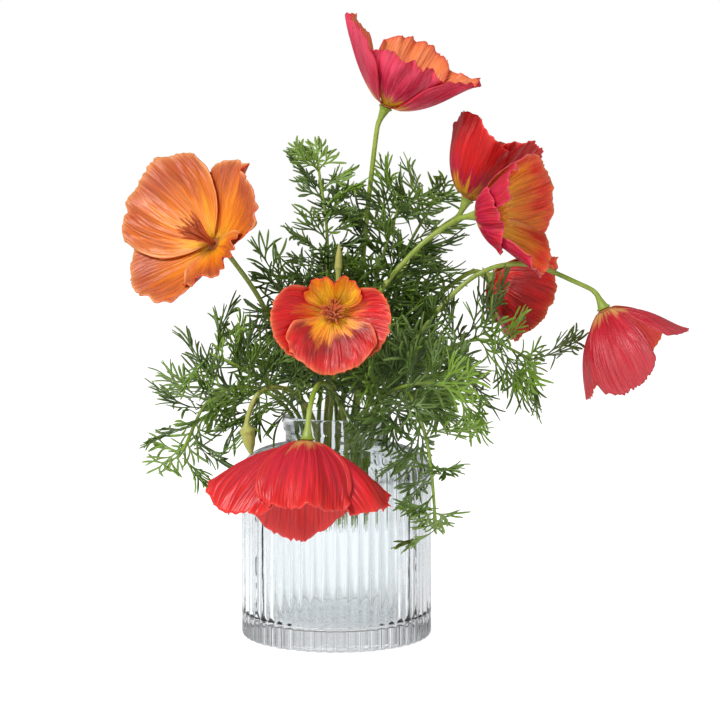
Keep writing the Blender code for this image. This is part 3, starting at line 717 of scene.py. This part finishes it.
def petal_half_width(petal, along):
    """Half the width of the fan-shaped petal, from its narrow foot to its broad top."""
    spread = petal[2] * MM - PETAL_FOOT_WIDTH
    return PETAL_FOOT_WIDTH + spread * math.sin(math.pi / 2 * min(1, along / 0.85))


def edge_waver(seed, azimuth):
    """How far the petal's edge is nibbled back at an azimuth, from 0 to about 1."""
    turn = math.radians(azimuth)
    coarse = noise.noise(Vector((math.cos(turn) * 4, math.sin(turn) * 4, seed)))
    fine = noise.noise(Vector((math.cos(turn) * 16, math.sin(turn) * 16, seed + 9)))
    return 0.5 + 0.5 * coarse + 0.35 * fine


def pleat_height(settings, flower, seed, azimuth, along):
    """Height of the folds, narrow pleats and edge ruffles at a place on the flower's surface."""
    turn = math.radians(azimuth)
    broad = 0.6 * math.sin(7 * turn + seed) + 0.4 * math.sin(13 * turn + 2.3 * seed)
    broad += 0.9 * noise.noise(Vector((math.cos(turn) * 5, math.sin(turn) * 5, seed + along * 0.8)))
    drift = 2.2 * noise.noise(Vector((math.cos(turn) * 3, math.sin(turn) * 3, seed * 5)))
    narrow = 1 - 2 * abs(math.sin(15 * turn + drift * 2 + seed)) ** 0.8
    narrow *= 0.5 + noise.noise(Vector((math.cos(turn) * 4, math.sin(turn) * 4, seed * 2 + along)))
    small = noise.noise(Vector((math.cos(turn) * 9, math.sin(turn) * 9, seed * 3 + along * 2)))
    depth = flower.get("pleats", 1)
    rise = settings.pleat * along**1.3 * broad
    rise += settings.narrow * math.sin(math.pi * min(along, 0.75)) * narrow
    return depth * (rise + settings.ruffle * max(0, along - 0.45) ** 2 * 3.3 * small)


def petal_point(settings, flower, petal, layer, seed, across, along):
    """A point of the petal: across runs from -1 to 1, along from foot to edge."""
    curl = math.radians(petal[6])
    petal_length, leans = blend_petals(flower, petal[0])
    rough_azimuth = petal[0] + across * 55
    nibble = 0.08 * edge_waver(seed + petal[0], rough_azimuth) * along**5
    reach = petal[1] * MM * along * (1 - 0.15 * abs(across) ** 3) * (1 - nibble)
    radius, _, _ = meridian(leans, petal_length, reach, 0)
    half_angle = min(petal_half_width(petal, along) / radius, math.radians(74))
    azimuth = petal[0] + math.degrees(across * half_angle)
    petal_length, leans = blend_petals(flower, azimuth % 360)
    radius, height, lean = meridian(leans, petal_length, reach, curl)
    rise = PETAL_LAYER * layer * min(1, along / 0.07)
    rise += pleat_height(settings, flower, seed, azimuth, along)
    radius = max(radius - rise * math.cos(lean), 1 * MM)
    height += rise * math.sin(lean)
    turn = math.radians(azimuth)
    return Vector((radius * math.cos(turn), radius * math.sin(turn), height))


def flower_frame(flower):
    """The matrix that carries the flower's own frame to its place on the stem."""
    up = Vector(flower["faces"]).normalized()
    first = Vector(flower["first"])
    first = (first - up * first.dot(up)).normalized()
    matrix = Matrix((first, up.cross(first), up)).transposed().to_4x4()
    matrix.translation = Vector(flower["at"]) * MM
    return matrix


def build_petal(name, settings, flower, petal, layer, seed):
    """One petal as a fine grid, thickened, with its across and along values as its UV map."""
    columns, rows = settings.columns, settings.rows
    place = flower_frame(flower)
    shell = bmesh.new()
    chart = shell.loops.layers.uv.new("petal")
    grid = []
    for row in range(rows + 1):
        along = (row / rows) ** 0.9
        line = []
        for column in range(columns + 1):
            across = 2 * column / columns - 1
            point = petal_point(settings, flower, petal, layer, seed, across, along)
            line.append(shell.verts.new(place @ point))
        grid.append(line)
    for row in range(rows):
        for column in range(columns):
            corners = ((row, column), (row, column + 1), (row + 1, column + 1), (row + 1, column))
            face = shell.faces.new([grid[r][c] for r, c in corners])
            for loop, (r, c) in zip(face.loops, corners):
                loop[chart].uv = (c / columns, (r / rows) ** 0.9)
    made = link_object(name, finish_shell(shell, name))
    thicken = made.modifiers.new("thickness", "SOLIDIFY")
    thicken.thickness = settings.thickness
    thicken.offset = 0
    thicken.material_offset = 1
    return made


# ---------------------------------------------------------------- stamens


def build_stamens(name, settings, flower, seed):
    """A bunch of slim stamens round the pistil's four fine points."""
    chance = random.Random(f"stamens {seed}")
    place = flower_frame(flower)
    taller, wider = flower.get("crown", (1, 1))
    shell = bmesh.new()
    cushion = Matrix.Translation((0, 0, 0.6 * MM)) @ Matrix.Diagonal((3.3 * MM, 3.3 * MM, 0.9 * MM, 1))
    bmesh.ops.create_uvsphere(shell, u_segments=16, v_segments=8, radius=1, matrix=place @ cushion)
    for number in range(round(settings.count * wider)):
        turn = number * GOLDEN_ANGLE + chance.uniform(-0.2, 0.2)
        out = Vector((math.cos(turn), math.sin(turn), 0))
        spread = settings.spread * wider * chance.uniform(0.2, 1.1)
        height = settings.height * taller * chance.uniform(0.72, 1.05)
        foot = out * 1.3 * MM * chance.uniform(0.5, 1.1) + Vector((0, 0, 0.5 * MM))
        tip = out * spread + Vector((0, 0, height))
        bend = out * spread * 0.25 + Vector((0, 0, height * 0.55))
        curve = interpolate_bezier(foot, bend, tip * 0.85, tip, 9)
        radii = (0.18, 0.18, 0.2, 0.34, 0.44, 0.46, 0.42, 0.34, 0.1)
        add_tube(shell, [(place @ point, radius * MM) for point, radius in zip(curve, radii)], 6)
    for number in range(4):
        turn = math.pi / 2 * number + 0.4
        out = Vector((math.cos(turn), math.sin(turn), 0))
        points = [Vector((0, 0, 0.5 * MM)), Vector((0, 0, 4 * MM)), out * 1.2 * MM + Vector((0, 0, 8 * MM))]
        points.append(out * 3.4 * MM + Vector((0, 0, 12 * MM)))
        radii = (1.1, 0.8, 0.45, 0.2)
        route = smooth_route(points, 2 * MM)
        sections = []
        for step, point in enumerate(route):
            along = step / (len(route) - 1) * 3
            low = min(int(along), 2)
            radius = radii[low] + (radii[low + 1] - radii[low]) * (along - low)
            sections.append((place @ point, radius * MM * 0.8))
        add_tube(shell, sections, 6)
    return link_object(name, finish_shell(shell, name))


def stamen_material(settings, name, flower):
    """Powdery anthers on darker feet, by how far a point is up the flower's axis."""
    made, tree, shader = start_material(name, 0.7, Sheen_Weight=0.2)
    place = add_node(tree, "TexCoord")
    up = Vector(flower["faces"]).normalized()
    foot = Vector(flower["at"]) * MM
    shifted = add_node(tree, "VectorMath", operation="SUBTRACT")
    shifted.inputs[1].default_value = foot
    join(tree, place.outputs["Object"], shifted.inputs[0])
    height = add_node(tree, "VectorMath", operation="DOT_PRODUCT")
    height.inputs[1].default_value = up
    join(tree, shifted.outputs[0], height.inputs[0])
    rise = add_node(tree, "MapRange", in_From_Min=0.001, in_From_Max=0.006)
    join(tree, height.outputs["Value"], rise.inputs["Value"])
    powder = add_node(tree, "TexNoise", in_Scale=1400.0, in_Detail=2.0)
    join(tree, place.outputs["Object"], powder.inputs["Vector"])
    clump = add_node(tree, "TexNoise", in_Scale=420.0, in_Detail=1.0)
    join(tree, place.outputs["Object"], clump.inputs["Vector"])
    pollen = getattr(settings, flower.get("pollen", "fresh"))
    bright = tuple(min(1, value * 1.3 + 0.03) for value in pollen)
    anther = mix_colours(tree, clump.outputs[0], pollen, bright)
    join(tree, mix_colours(tree, rise.outputs[0], settings.stalk, anther), shader.inputs["Base Color"])
    add_bump(tree, shader, powder.outputs[0], 0.7, 0.0003)
    return made


# ---------------------------------------------------------------- leaves


class Ribbon:
    """A flat branching ribbon: points with a normal, a half width and a tone, joined into trees."""

    def __init__(self):
        self.points, self.normals, self.radii, self.tones = [], [], [], []
        self.neighbours = []

    def add(self, root, point, normal, radius, tone):
        number = len(self.points)
        self.points.append(point)
        self.normals.append(normal.normalized())
        self.radii.append(radius)
        self.tones.append(tone)
        self.neighbours.append([])
        if root is not None:
            self.neighbours[root].append(number)
            self.neighbours[number].append(root)
        return number

    def corners(self, number):
        """The neighbours in turn about a point, and the outline's corner after each of them."""
        point, normal, radius = self.points[number], self.normals[number], self.radii[number]
        level = normal.orthogonal().normalized()
        rise = normal.cross(level)
        headings = {}
        for other in self.neighbours[number]:
            away = self.points[other] - point
            headings[other] = math.atan2(away.dot(rise), away.dot(level))
        ordered = sorted(headings, key=headings.get)
        if len(ordered) == 1:
            turns = [(headings[ordered[0]] + side * math.pi * 0.62, radius * 0.9) for side in (1, -1)]
        else:
            turns = []
            for place, other in enumerate(ordered):
                gap = (headings[ordered[(place + 1) % len(ordered)]] - headings[other]) % (2 * math.pi)
                reach = min(radius / max(math.sin(gap / 2), 0.5), radius * 2)
                turns.append((headings[other] + gap / 2, reach))
        return ordered, [point + (level * math.cos(t) + rise * math.sin(t)) * r for t, r in turns]

    def to_mesh(self, name):
        """Two four-sided faces along each edge, folded a little along the middle."""
        shell = bmesh.new()
        chart = shell.loops.layers.uv.new("leaf")
        rings, middles = {}, []
        for number, point in enumerate(self.points):
            ordered, corners = self.corners(number)
            made = [shell.verts.new(corner) for corner in corners]
            middle = point - self.normals[number] * self.radii[number] * 0.45
            if len(ordered) == 1:
                away = (point - self.points[ordered[0]]).normalized()
                middle += away * self.radii[number] * 0.7
                rings[number, ordered[0]] = (made[1], made[0])
            for place, other in enumerate(ordered):
                if len(ordered) > 1:
                    rings[number, other] = (made[place - 1], made[place])
            middles.append(shell.verts.new(middle))
        for (number, other), (right, left) in rings.items():
            if number > other:
                continue
            far_right, far_left = rings[other, number]
            for side, first, second in ((0, right, far_left), (1, far_right, left)):
                ends = (number, other) if side == 0 else (other, number)
                face = shell.faces.new((middles[ends[0]], first, second, middles[ends[1]]))
                near_tone, far_tone = self.tones[ends[0]], self.tones[ends[1]]
                tones = (near_tone, near_tone, far_tone, far_tone)
                # The first UV value is 1 down the middle and 0 at the edges; the leaf material paints a
                # highlight there. The second carries the tone.
                for loop, fold_highlight, tone in zip(face.loops, (1, 0, 0, 1), tones):
                    loop[chart].uv = (fold_highlight, tone)
        return finish_shell(shell, name)


class Frond:
    """Grows one feathery frond on a ribbon, keeping off the petals and the glass."""

    def __init__(self, ribbon, obstacles, width, chance, tone):
        self.ribbon, self.obstacles, self.width = ribbon, obstacles, width
        self.chance, self.tone = chance, tone

    def extend(self, root, step, normal, radius, tip_highlight=0.0):
        start = self.ribbon.points[root]
        tip = start + step
        for place in (start.lerp(tip, 0.5), tip):
            if self.obstacles.find_nearest(place, LEAF_CLEARANCE)[0] is not None or place.z < 3 * MM:
                return None
        # Lobes pass an extra amount that lightens their outer steps: a painted highlight at the lobe tips.
        tone = self.tone + tip_highlight + self.chance.uniform(-0.05, 0.05)
        return self.ribbon.add(root, tip, normal, radius, tone)

    def lobe(self, root, heading, normal, size):
        """A slim blunt lobe in four steps, curved like a finger and widest beyond its middle."""
        width = self.width * self.chance.uniform(0.85, 1.2)
        bend = self.chance.uniform(-0.26, 0.26)
        sag = self.chance.uniform(-0.2, 0.1)
        for place, swell in enumerate((0.75, 1.0, 1.1, 0.55)):
            # Each step out along the lobe is a little lighter: a painted highlight towards the tip.
            root = self.extend(root, heading * size / 4, normal, width * swell, 0.1 * place)
            if root is None:
                return
            heading = Matrix.Rotation(bend, 3, normal) @ heading
            heading = (heading + normal * sag).normalized()

    def fork(self, root, heading, normal, size, depth):
        """A branch that ends in two or three more branches, or in lobes."""
        half = self.extend(root, heading * size * 0.22, normal, self.width * 0.75)
        if half is None:
            return
        heading = Matrix.Rotation(self.chance.uniform(-0.22, 0.22), 3, normal) @ heading
        tip = self.extend(half, heading * size * 0.22, normal, self.width * 0.8)
        if tip is None:
            return
        turns = (0.0, -0.55, 0.55) if self.chance.random() < 0.5 else (-0.3, 0.36)
        for turn in turns:
            away = Matrix.Rotation(turn + self.chance.uniform(-0.12, 0.12), 3, normal) @ heading
            tilted = Matrix.Rotation(self.chance.uniform(-0.4, 0.4), 3, away) @ normal
            if depth > 0:
                self.fork(tip, away, tilted, size * self.chance.uniform(0.7, 0.9), depth - 1)
            else:
                self.lobe(tip, away, tilted, size * self.chance.uniform(0.75, 1.3))

    def grow(self, foot, heading, normal, size):
        """The whole frond: a slim bare stalk, then pairs of forked branches along the midrib."""
        here = self.ribbon.add(None, foot, normal, self.width * 0.75, self.tone)
        sag = self.chance.uniform(-0.03, 0.14)
        for step in range(6):
            side = heading.cross(normal)
            bend = Matrix.Rotation(sag, 3, side)
            heading, normal = bend @ heading, bend @ normal
            there = self.extend(here, heading * size * 0.13, normal, self.width * 0.7)
            if there is None:
                return
            if step in (1, 3, 5):
                for sign in (-1, 1):
                    tilt = Matrix.Rotation(sign * self.chance.uniform(0.0, 0.6), 3, heading) @ normal
                    away = Matrix.Rotation(sign * self.chance.uniform(0.5, 0.8), 3, tilt) @ heading
                    branch = size * (0.42, 0.4, 0.34)[step // 2]
                    self.fork(there, away, tilt, branch, 1 if step == 1 else 0)
            here = there
        self.fork(here, heading, normal, size * 0.36, 0)


def obstacle_tree():
    """One search tree of the petals and the jar, which no leaf may pass through."""
    points, faces = [], []
    for name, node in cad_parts.items():
        if name.startswith("petal_") or name == "jar":
            first = len(points)
            points.extend(vertex.co.copy() for vertex in node.data.vertices)
            faces.extend([first + index for index in face.vertices] for face in node.data.polygons)
    return BVHTree.FromPolygons(points, faces)


def build_shoot(name, route, frond_length, gap, settings, obstacles):
    """A leafy shoot: fronds all round the stalk, each one a branch of one ribbon mesh."""
    chance = random.Random(f"shoot {name}")
    ribbon = Ribbon()
    points = smooth_route([Vector(point) * MM for point in route], settings.spacing * gap)
    turn = chance.uniform(0, 6)
    last = len(points) - 1
    side = (points[1] - points[0]).orthogonal().normalized()
    for number in range(1, last + 1):
        point = points[number]
        along = (points[min(number + 1, last)] - points[number - 1]).normalized()
        side = (side - along * side.dot(along)).normalized()
        turn += 2.4
        if point.z < JAR_HIGH.z + MOUTH_CLEARANCE and math.hypot(point.x, point.y) < MOUTH_REACH:
            continue
        if number > last * 0.7 and number % 3 == 0:  # the tip is thinner
            continue
        out = Matrix.Rotation(turn, 3, along) @ side
        rise = 0.55 + 0.5 * number / last
        heading = (out + along * rise + Vector((0, 0, 0.15))).normalized()
        normal = heading.cross(along).cross(heading).normalized() * -1
        # Each frond's tone is picked at random and grows lighter up the stalk. The darkest picks are
        # painted shade: they stand in for fronds in shadow.
        tone = chance.choice((0.0, 0.1, 0.5, 0.8)) * (0.4 + 0.6 * number / last) + 0.15 * number / last
        frond = Frond(ribbon, obstacles, settings.lobe * (0.85 + 0.15 * gap), chance, tone)
        size = frond_length * MM * chance.uniform(0.85, 1.2) * (1.15 - 0.55 * number / last)
        frond.grow(point, heading, normal, size)
    made = link_object("leaves_" + name, ribbon.to_mesh("leaves_" + name))
    round_off = made.modifiers.new("rounding", "SUBSURF")
    round_off.levels = round_off.render_levels = 1
    thicken = made.modifiers.new("thickness", "SOLIDIFY")
    thicken.thickness = settings.thickness
    thicken.offset = 0
    return made, points


def build_stalk(name, points):
    curve = bpy.data.curves.new("stalk_" + name, "CURVE")
    curve.dimensions = "3D"
    curve.bevel_depth = STALK_RADIUS
    curve.bevel_resolution = 3
    curve.use_fill_caps = True
    spline = curve.splines.new("POLY")
    spline.points.add(len(points) - 1)
    for number, (target, point) in enumerate(zip(spline.points, points)):
        target.co = (*point, 1)
        target.radius = 1 - 0.45 * number / (len(points) - 1)
    return link_object("stalk_" + name, curve)


def leaf_material(settings):
    """Feathery leaf: tone from frond to frond (its darkest fronds partly painted shade), a painted
    highlight down the middle crease, a grey waxy bloom.
    """
    made, tree, shader = start_material(
        "feathery_leaf",
        0.5,
        Subsurface_Weight=0.1,
        Subsurface_Radius=(0.002, 0.004, 0.001),
        Subsurface_Scale=0.4,
    )
    place = add_node(tree, "TexCoord")
    split = add_node(tree, "SeparateXYZ")
    join(tree, place.outputs["UV"], split.inputs[0])
    base = mix_colours(tree, split.outputs[1], settings.dark, settings.light)
    bloom = add_group(tree, waxy_bloom_group(), Scale=160.0, Amount=0.55)
    coloured = mix_colours(tree, bloom.outputs["Mask"], base, settings.bloom)
    # Painted highlight: a paler leaf green mixed in towards the middle crease of each lobe, so the crease
    # looks lit.
    fold_highlight = calculate(tree, "POWER", split.outputs[0], 4.0)
    pale = tuple(value * 1.1 + 0.03 for value in settings.light)
    folded = mix_colours(tree, calculate(tree, "MULTIPLY", fold_highlight, 0.4), coloured, pale)
    join(tree, folded, shader.inputs["Base Color"])
    rough = add_node(tree, "MapRange", in_To_Min=0.42, in_To_Max=0.62)
    join(tree, bloom.outputs["Mask"], rough.inputs["Value"])
    join(tree, rough.outputs[0], shader.inputs["Roughness"])
    add_bump(tree, shader, bloom.outputs["Grain"], 0.3, 0.0003)
    return made


# ---------------------------------------------------------------- operators


class POPPIES_OT_jar(bpy.types.Operator):
    """Build the ribbed glass jar"""

    bl_idname = "poppies.jar"
    bl_label = "Glass jar"

    def execute(self, context):
        settings = context.scene.poppy_jar
        jar = link_object("jar_glass", build_jar(settings))
        jar.data.materials.append(glass_material(settings))
        seat(jar, "glass", "jar")
        return {"FINISHED"}


class POPPIES_OT_petals(bpy.types.Operator):
    """Build the petals of every flower"""

    bl_idname = "poppies.petals"
    bl_label = "Petals"

    def execute(self, context):
        settings, palette = context.scene.poppy_petals, context.scene.poppy_palette
        for place, (name, flower) in enumerate(FLOWERS.items()):
            skins = []
            for side in ("outside", "inside"):
                colours = [tuple(getattr(palette, colour)) for colour in flower[side]]
                skins.append(petal_material(f"petal_{name}_{side}", colours, place * 3.7, settings.veins))
            special = {}
            for number, named in flower.get("special", {}).items():
                colours = [tuple(getattr(palette, colour)) for colour in named]
                title = f"petal_{name}_{number}_inside"
                special[number] = petal_material(title, colours, place * 3.7 + number, settings.veins)
            for number, petal in enumerate(flower["petals"], start=1):
                layer = 1 if number % 2 == 0 else -1
                title = f"petal_{name}_{number}"
                made = build_petal(title + "_skin", settings, flower, petal, layer, place * 1.7)
                made.data.materials.append(skins[0])
                made.data.materials.append(special.get(number, skins[1]))
                seat(made, "petal_" + name, title)
        return {"FINISHED"}


class POPPIES_OT_stamens(bpy.types.Operator):
    """Build the stamens of every flower"""

    bl_idname = "poppies.stamens"
    bl_label = "Stamens"

    def execute(self, context):
        settings = context.scene.poppy_stamens
        for place, (name, flower) in enumerate(FLOWERS.items()):
            made = build_stamens("stamen_bunch_" + name, settings, flower, place)
            made.data.materials.append(stamen_material(settings, "pollen_" + name, flower))
            seat(made, "stamens", "stamens_" + name)
        return {"FINISHED"}


class POPPIES_OT_stems(bpy.types.Operator):
    """Round off the stems and buds and give them their green skin"""

    bl_idname = "poppies.stems"
    bl_label = "Stems and buds"

    def execute(self, context):
        settings = context.scene.poppy_stems
        stem = green_material("stem_skin", settings.stem, settings.pale, 120.0, 0.8, 0.42)
        bud = green_material("bud_skin", settings.bud, settings.pale, 260.0, 0.6, 0.5)
        for name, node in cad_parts.items():
            if not name.startswith(("stem_", "bud_")):
                continue
            weld = node.modifiers.new("weld", "WELD")
            weld.merge_threshold = 0.01 * MM
            rounding = node.modifiers.new("rounding", "SUBSURF")
            rounding.levels = rounding.render_levels = settings.smoothness
            for slot in node.material_slots:
                slot.material = bud if name.startswith("bud_") else stem
        return {"FINISHED"}


class POPPIES_OT_leaves(bpy.types.Operator):
    """Grow the feathery leaves on their stalks"""

    bl_idname = "poppies.leaves"
    bl_label = "Leaves"

    def execute(self, context):
        settings, stems = context.scene.poppy_leaves, context.scene.poppy_stems
        skin = leaf_material(settings)
        stalk_skin = green_material("stalk_skin", stems.stem, settings.bloom, 150.0, 0.7, 0.48)
        obstacles = obstacle_tree()
        for name, (route, frond_length, gap) in SHOOTS.items():
            made, points = build_shoot(name, route, frond_length, gap, settings, obstacles)
            made.data.materials.append(skin)
            seat(made, "leaf", "shoot_" + name)
            stalk = build_stalk(name, points)
            stalk.data.materials.append(stalk_skin)
            seat(stalk, "leaf")
        return {"FINISHED"}


class POPPIES_OT_stage(bpy.types.Operator):
    """Set the floor, the lights and the camera"""

    bl_idname = "poppies.stage"
    bl_label = "Stage"

    def execute(self, context):
        settings = context.scene.poppy_stage
        shell = bmesh.new()
        bmesh.ops.create_grid(shell, x_segments=1, y_segments=1, size=6)
        floor = link_object("floor", finish_shell(shell, "floor"))
        made, tree, shader = start_material("pale_floor", 0.8)
        cloud = add_node(tree, "TexNoise", in_Scale=3.0)
        dim = tuple(value * 0.985 for value in settings.floor)
        join(tree, mix_colours(tree, cloud.outputs[0], settings.floor, dim), shader.inputs["Base Color"])
        shader.inputs["Emission Color"].default_value = (1, 1, 1, 1)
        seen = add_node(tree, "LightPath")
        place = add_node(tree, "TexCoord")
        split = add_node(tree, "SeparateXYZ")
        join(tree, place.outputs["Object"], split.inputs[0])
        aside = calculate(tree, "ABSOLUTE", split.outputs[0], 0.0)
        glow = add_node(tree, "MapRange", in_From_Min=0.06, in_From_Max=0.4)
        glow.inputs["To Min"].default_value = 0.46
        glow.inputs["To Max"].default_value = 0.04
        join(tree, aside, glow.inputs["Value"])
        strength = add_node(tree, "MapRange", in_To_Max=0.78)
        join(tree, seen.outputs["Is Camera Ray"], strength.inputs["Value"])
        join(tree, glow.outputs[0], strength.inputs["To Min"])
        join(tree, strength.outputs[0], shader.inputs["Emission Strength"])
        floor.data.materials.append(made)
        floor.location.z = -0.3 * MM

        world = bpy.data.worlds.new("surround")
        context.scene.world = world
        world.use_nodes = True
        back = world.node_tree.nodes["Background"]
        back.inputs["Color"].default_value = (1, 1, 1, 1)
        seen = add_node(world.node_tree, "LightPath")
        heading = add_node(world.node_tree, "TexCoord")
        split = add_node(world.node_tree, "SeparateXYZ")
        join(world.node_tree, heading.outputs["Generated"], split.inputs[0])
        aside = calculate(world.node_tree, "ABSOLUTE", split.outputs[0], 0.0)
        card = add_node(world.node_tree, "MapRange", in_From_Min=0.12, in_From_Max=0.5)
        card.inputs["To Min"].default_value = 0.9
        card.inputs["To Max"].default_value = 0.15
        join(world.node_tree, aside, card.inputs["Value"])
        through = add_node(world.node_tree, "MapRange", in_To_Min=settings.sky)
        join(world.node_tree, seen.outputs["Is Transmission Ray"], through.inputs["Value"])
        join(world.node_tree, card.outputs[0], through.inputs["To Max"])
        strength = add_node(world.node_tree, "MapRange", in_To_Max=1.0)
        join(world.node_tree, seen.outputs["Is Camera Ray"], strength.inputs["Value"])
        join(world.node_tree, through.outputs[0], strength.inputs["To Min"])
        join(world.node_tree, strength.outputs[0], back.inputs["Strength"])

        for name, place, size, power in (
            ("key", (-0.55, -0.75, 0.85), 0.4, settings.key),
            ("fill", (0.9, -0.35, 0.5), 0.7, settings.fill),
        ):
            lamp = bpy.data.lights.new(name, "AREA")
            lamp.shape = "DISK"
            lamp.size = size
            lamp.energy = power
            light = link_object(name, lamp)
            light.location = place
            aim = Vector((0, 0, 0.14)) - light.location
            light.rotation_euler = aim.to_track_quat("-Z", "Y").to_euler()

        lens = bpy.data.cameras.new("camera")
        lens.sensor_width = 36
        lens.lens = 97.5
        lens.clip_start = 0.01
        camera = link_object("camera", lens)
        camera.location = (0.0104, -0.855, 0.1897)
        camera.rotation_euler = (math.radians(90 - 4.57), 0, 0)
        context.scene.camera = camera
        context.scene.view_settings.view_transform = "Standard"
        return {"FINISHED"}


class POPPIES_PT_pieces(bpy.types.Panel):
    """Lists the pieces and their settings"""

    bl_label = "Poppies in a jar"
    bl_idname = "POPPIES_PT_pieces"
    bl_space_type = "VIEW_3D"
    bl_region_type = "UI"
    bl_category = "Poppies"

    def draw(self, context):
        for operator, *groups in PIECES:
            box = self.layout.box()
            box.operator(operator)
            for title in groups:
                group = getattr(context.scene, title)
                for name in group.bl_rna.properties.keys():
                    if name not in ("rna_type", "name"):
                        box.prop(group, name)


PIECES = (
    ("poppies.jar", "poppy_jar"),
    ("poppies.petals", "poppy_petals", "poppy_palette"),
    ("poppies.stamens", "poppy_stamens"),
    ("poppies.stems", "poppy_stems"),
    ("poppies.leaves", "poppy_leaves"),
    ("poppies.stage", "poppy_stage"),
)
SETTINGS = {
    "poppy_jar": JarSettings,
    "poppy_petals": PetalSettings,
    "poppy_palette": PaletteSettings,
    "poppy_stamens": StamenSettings,
    "poppy_stems": StemSettings,
    "poppy_leaves": LeafSettings,
    "poppy_stage": StageSettings,
}
CLASSES = (
    *SETTINGS.values(),
    POPPIES_OT_jar,
    POPPIES_OT_petals,
    POPPIES_OT_stamens,
    POPPIES_OT_stems,
    POPPIES_OT_leaves,
    POPPIES_OT_stage,
    POPPIES_PT_pieces,
)


def register():
    for made in CLASSES:
        bpy.utils.register_class(made)
    for name, group in SETTINGS.items():
        setattr(bpy.types.Scene, name, PointerProperty(type=group))


def unregister():
    for name in SETTINGS:
        delattr(bpy.types.Scene, name)
    for made in reversed(CLASSES):
        bpy.utils.unregister_class(made)


def main():
    register()
    bpy.ops.poppies.jar()
    bpy.ops.poppies.petals()
    bpy.ops.poppies.stamens()
    bpy.ops.poppies.stems()
    bpy.ops.poppies.leaves()
    bpy.ops.poppies.stage()


if __name__ == "__main__":
    main()
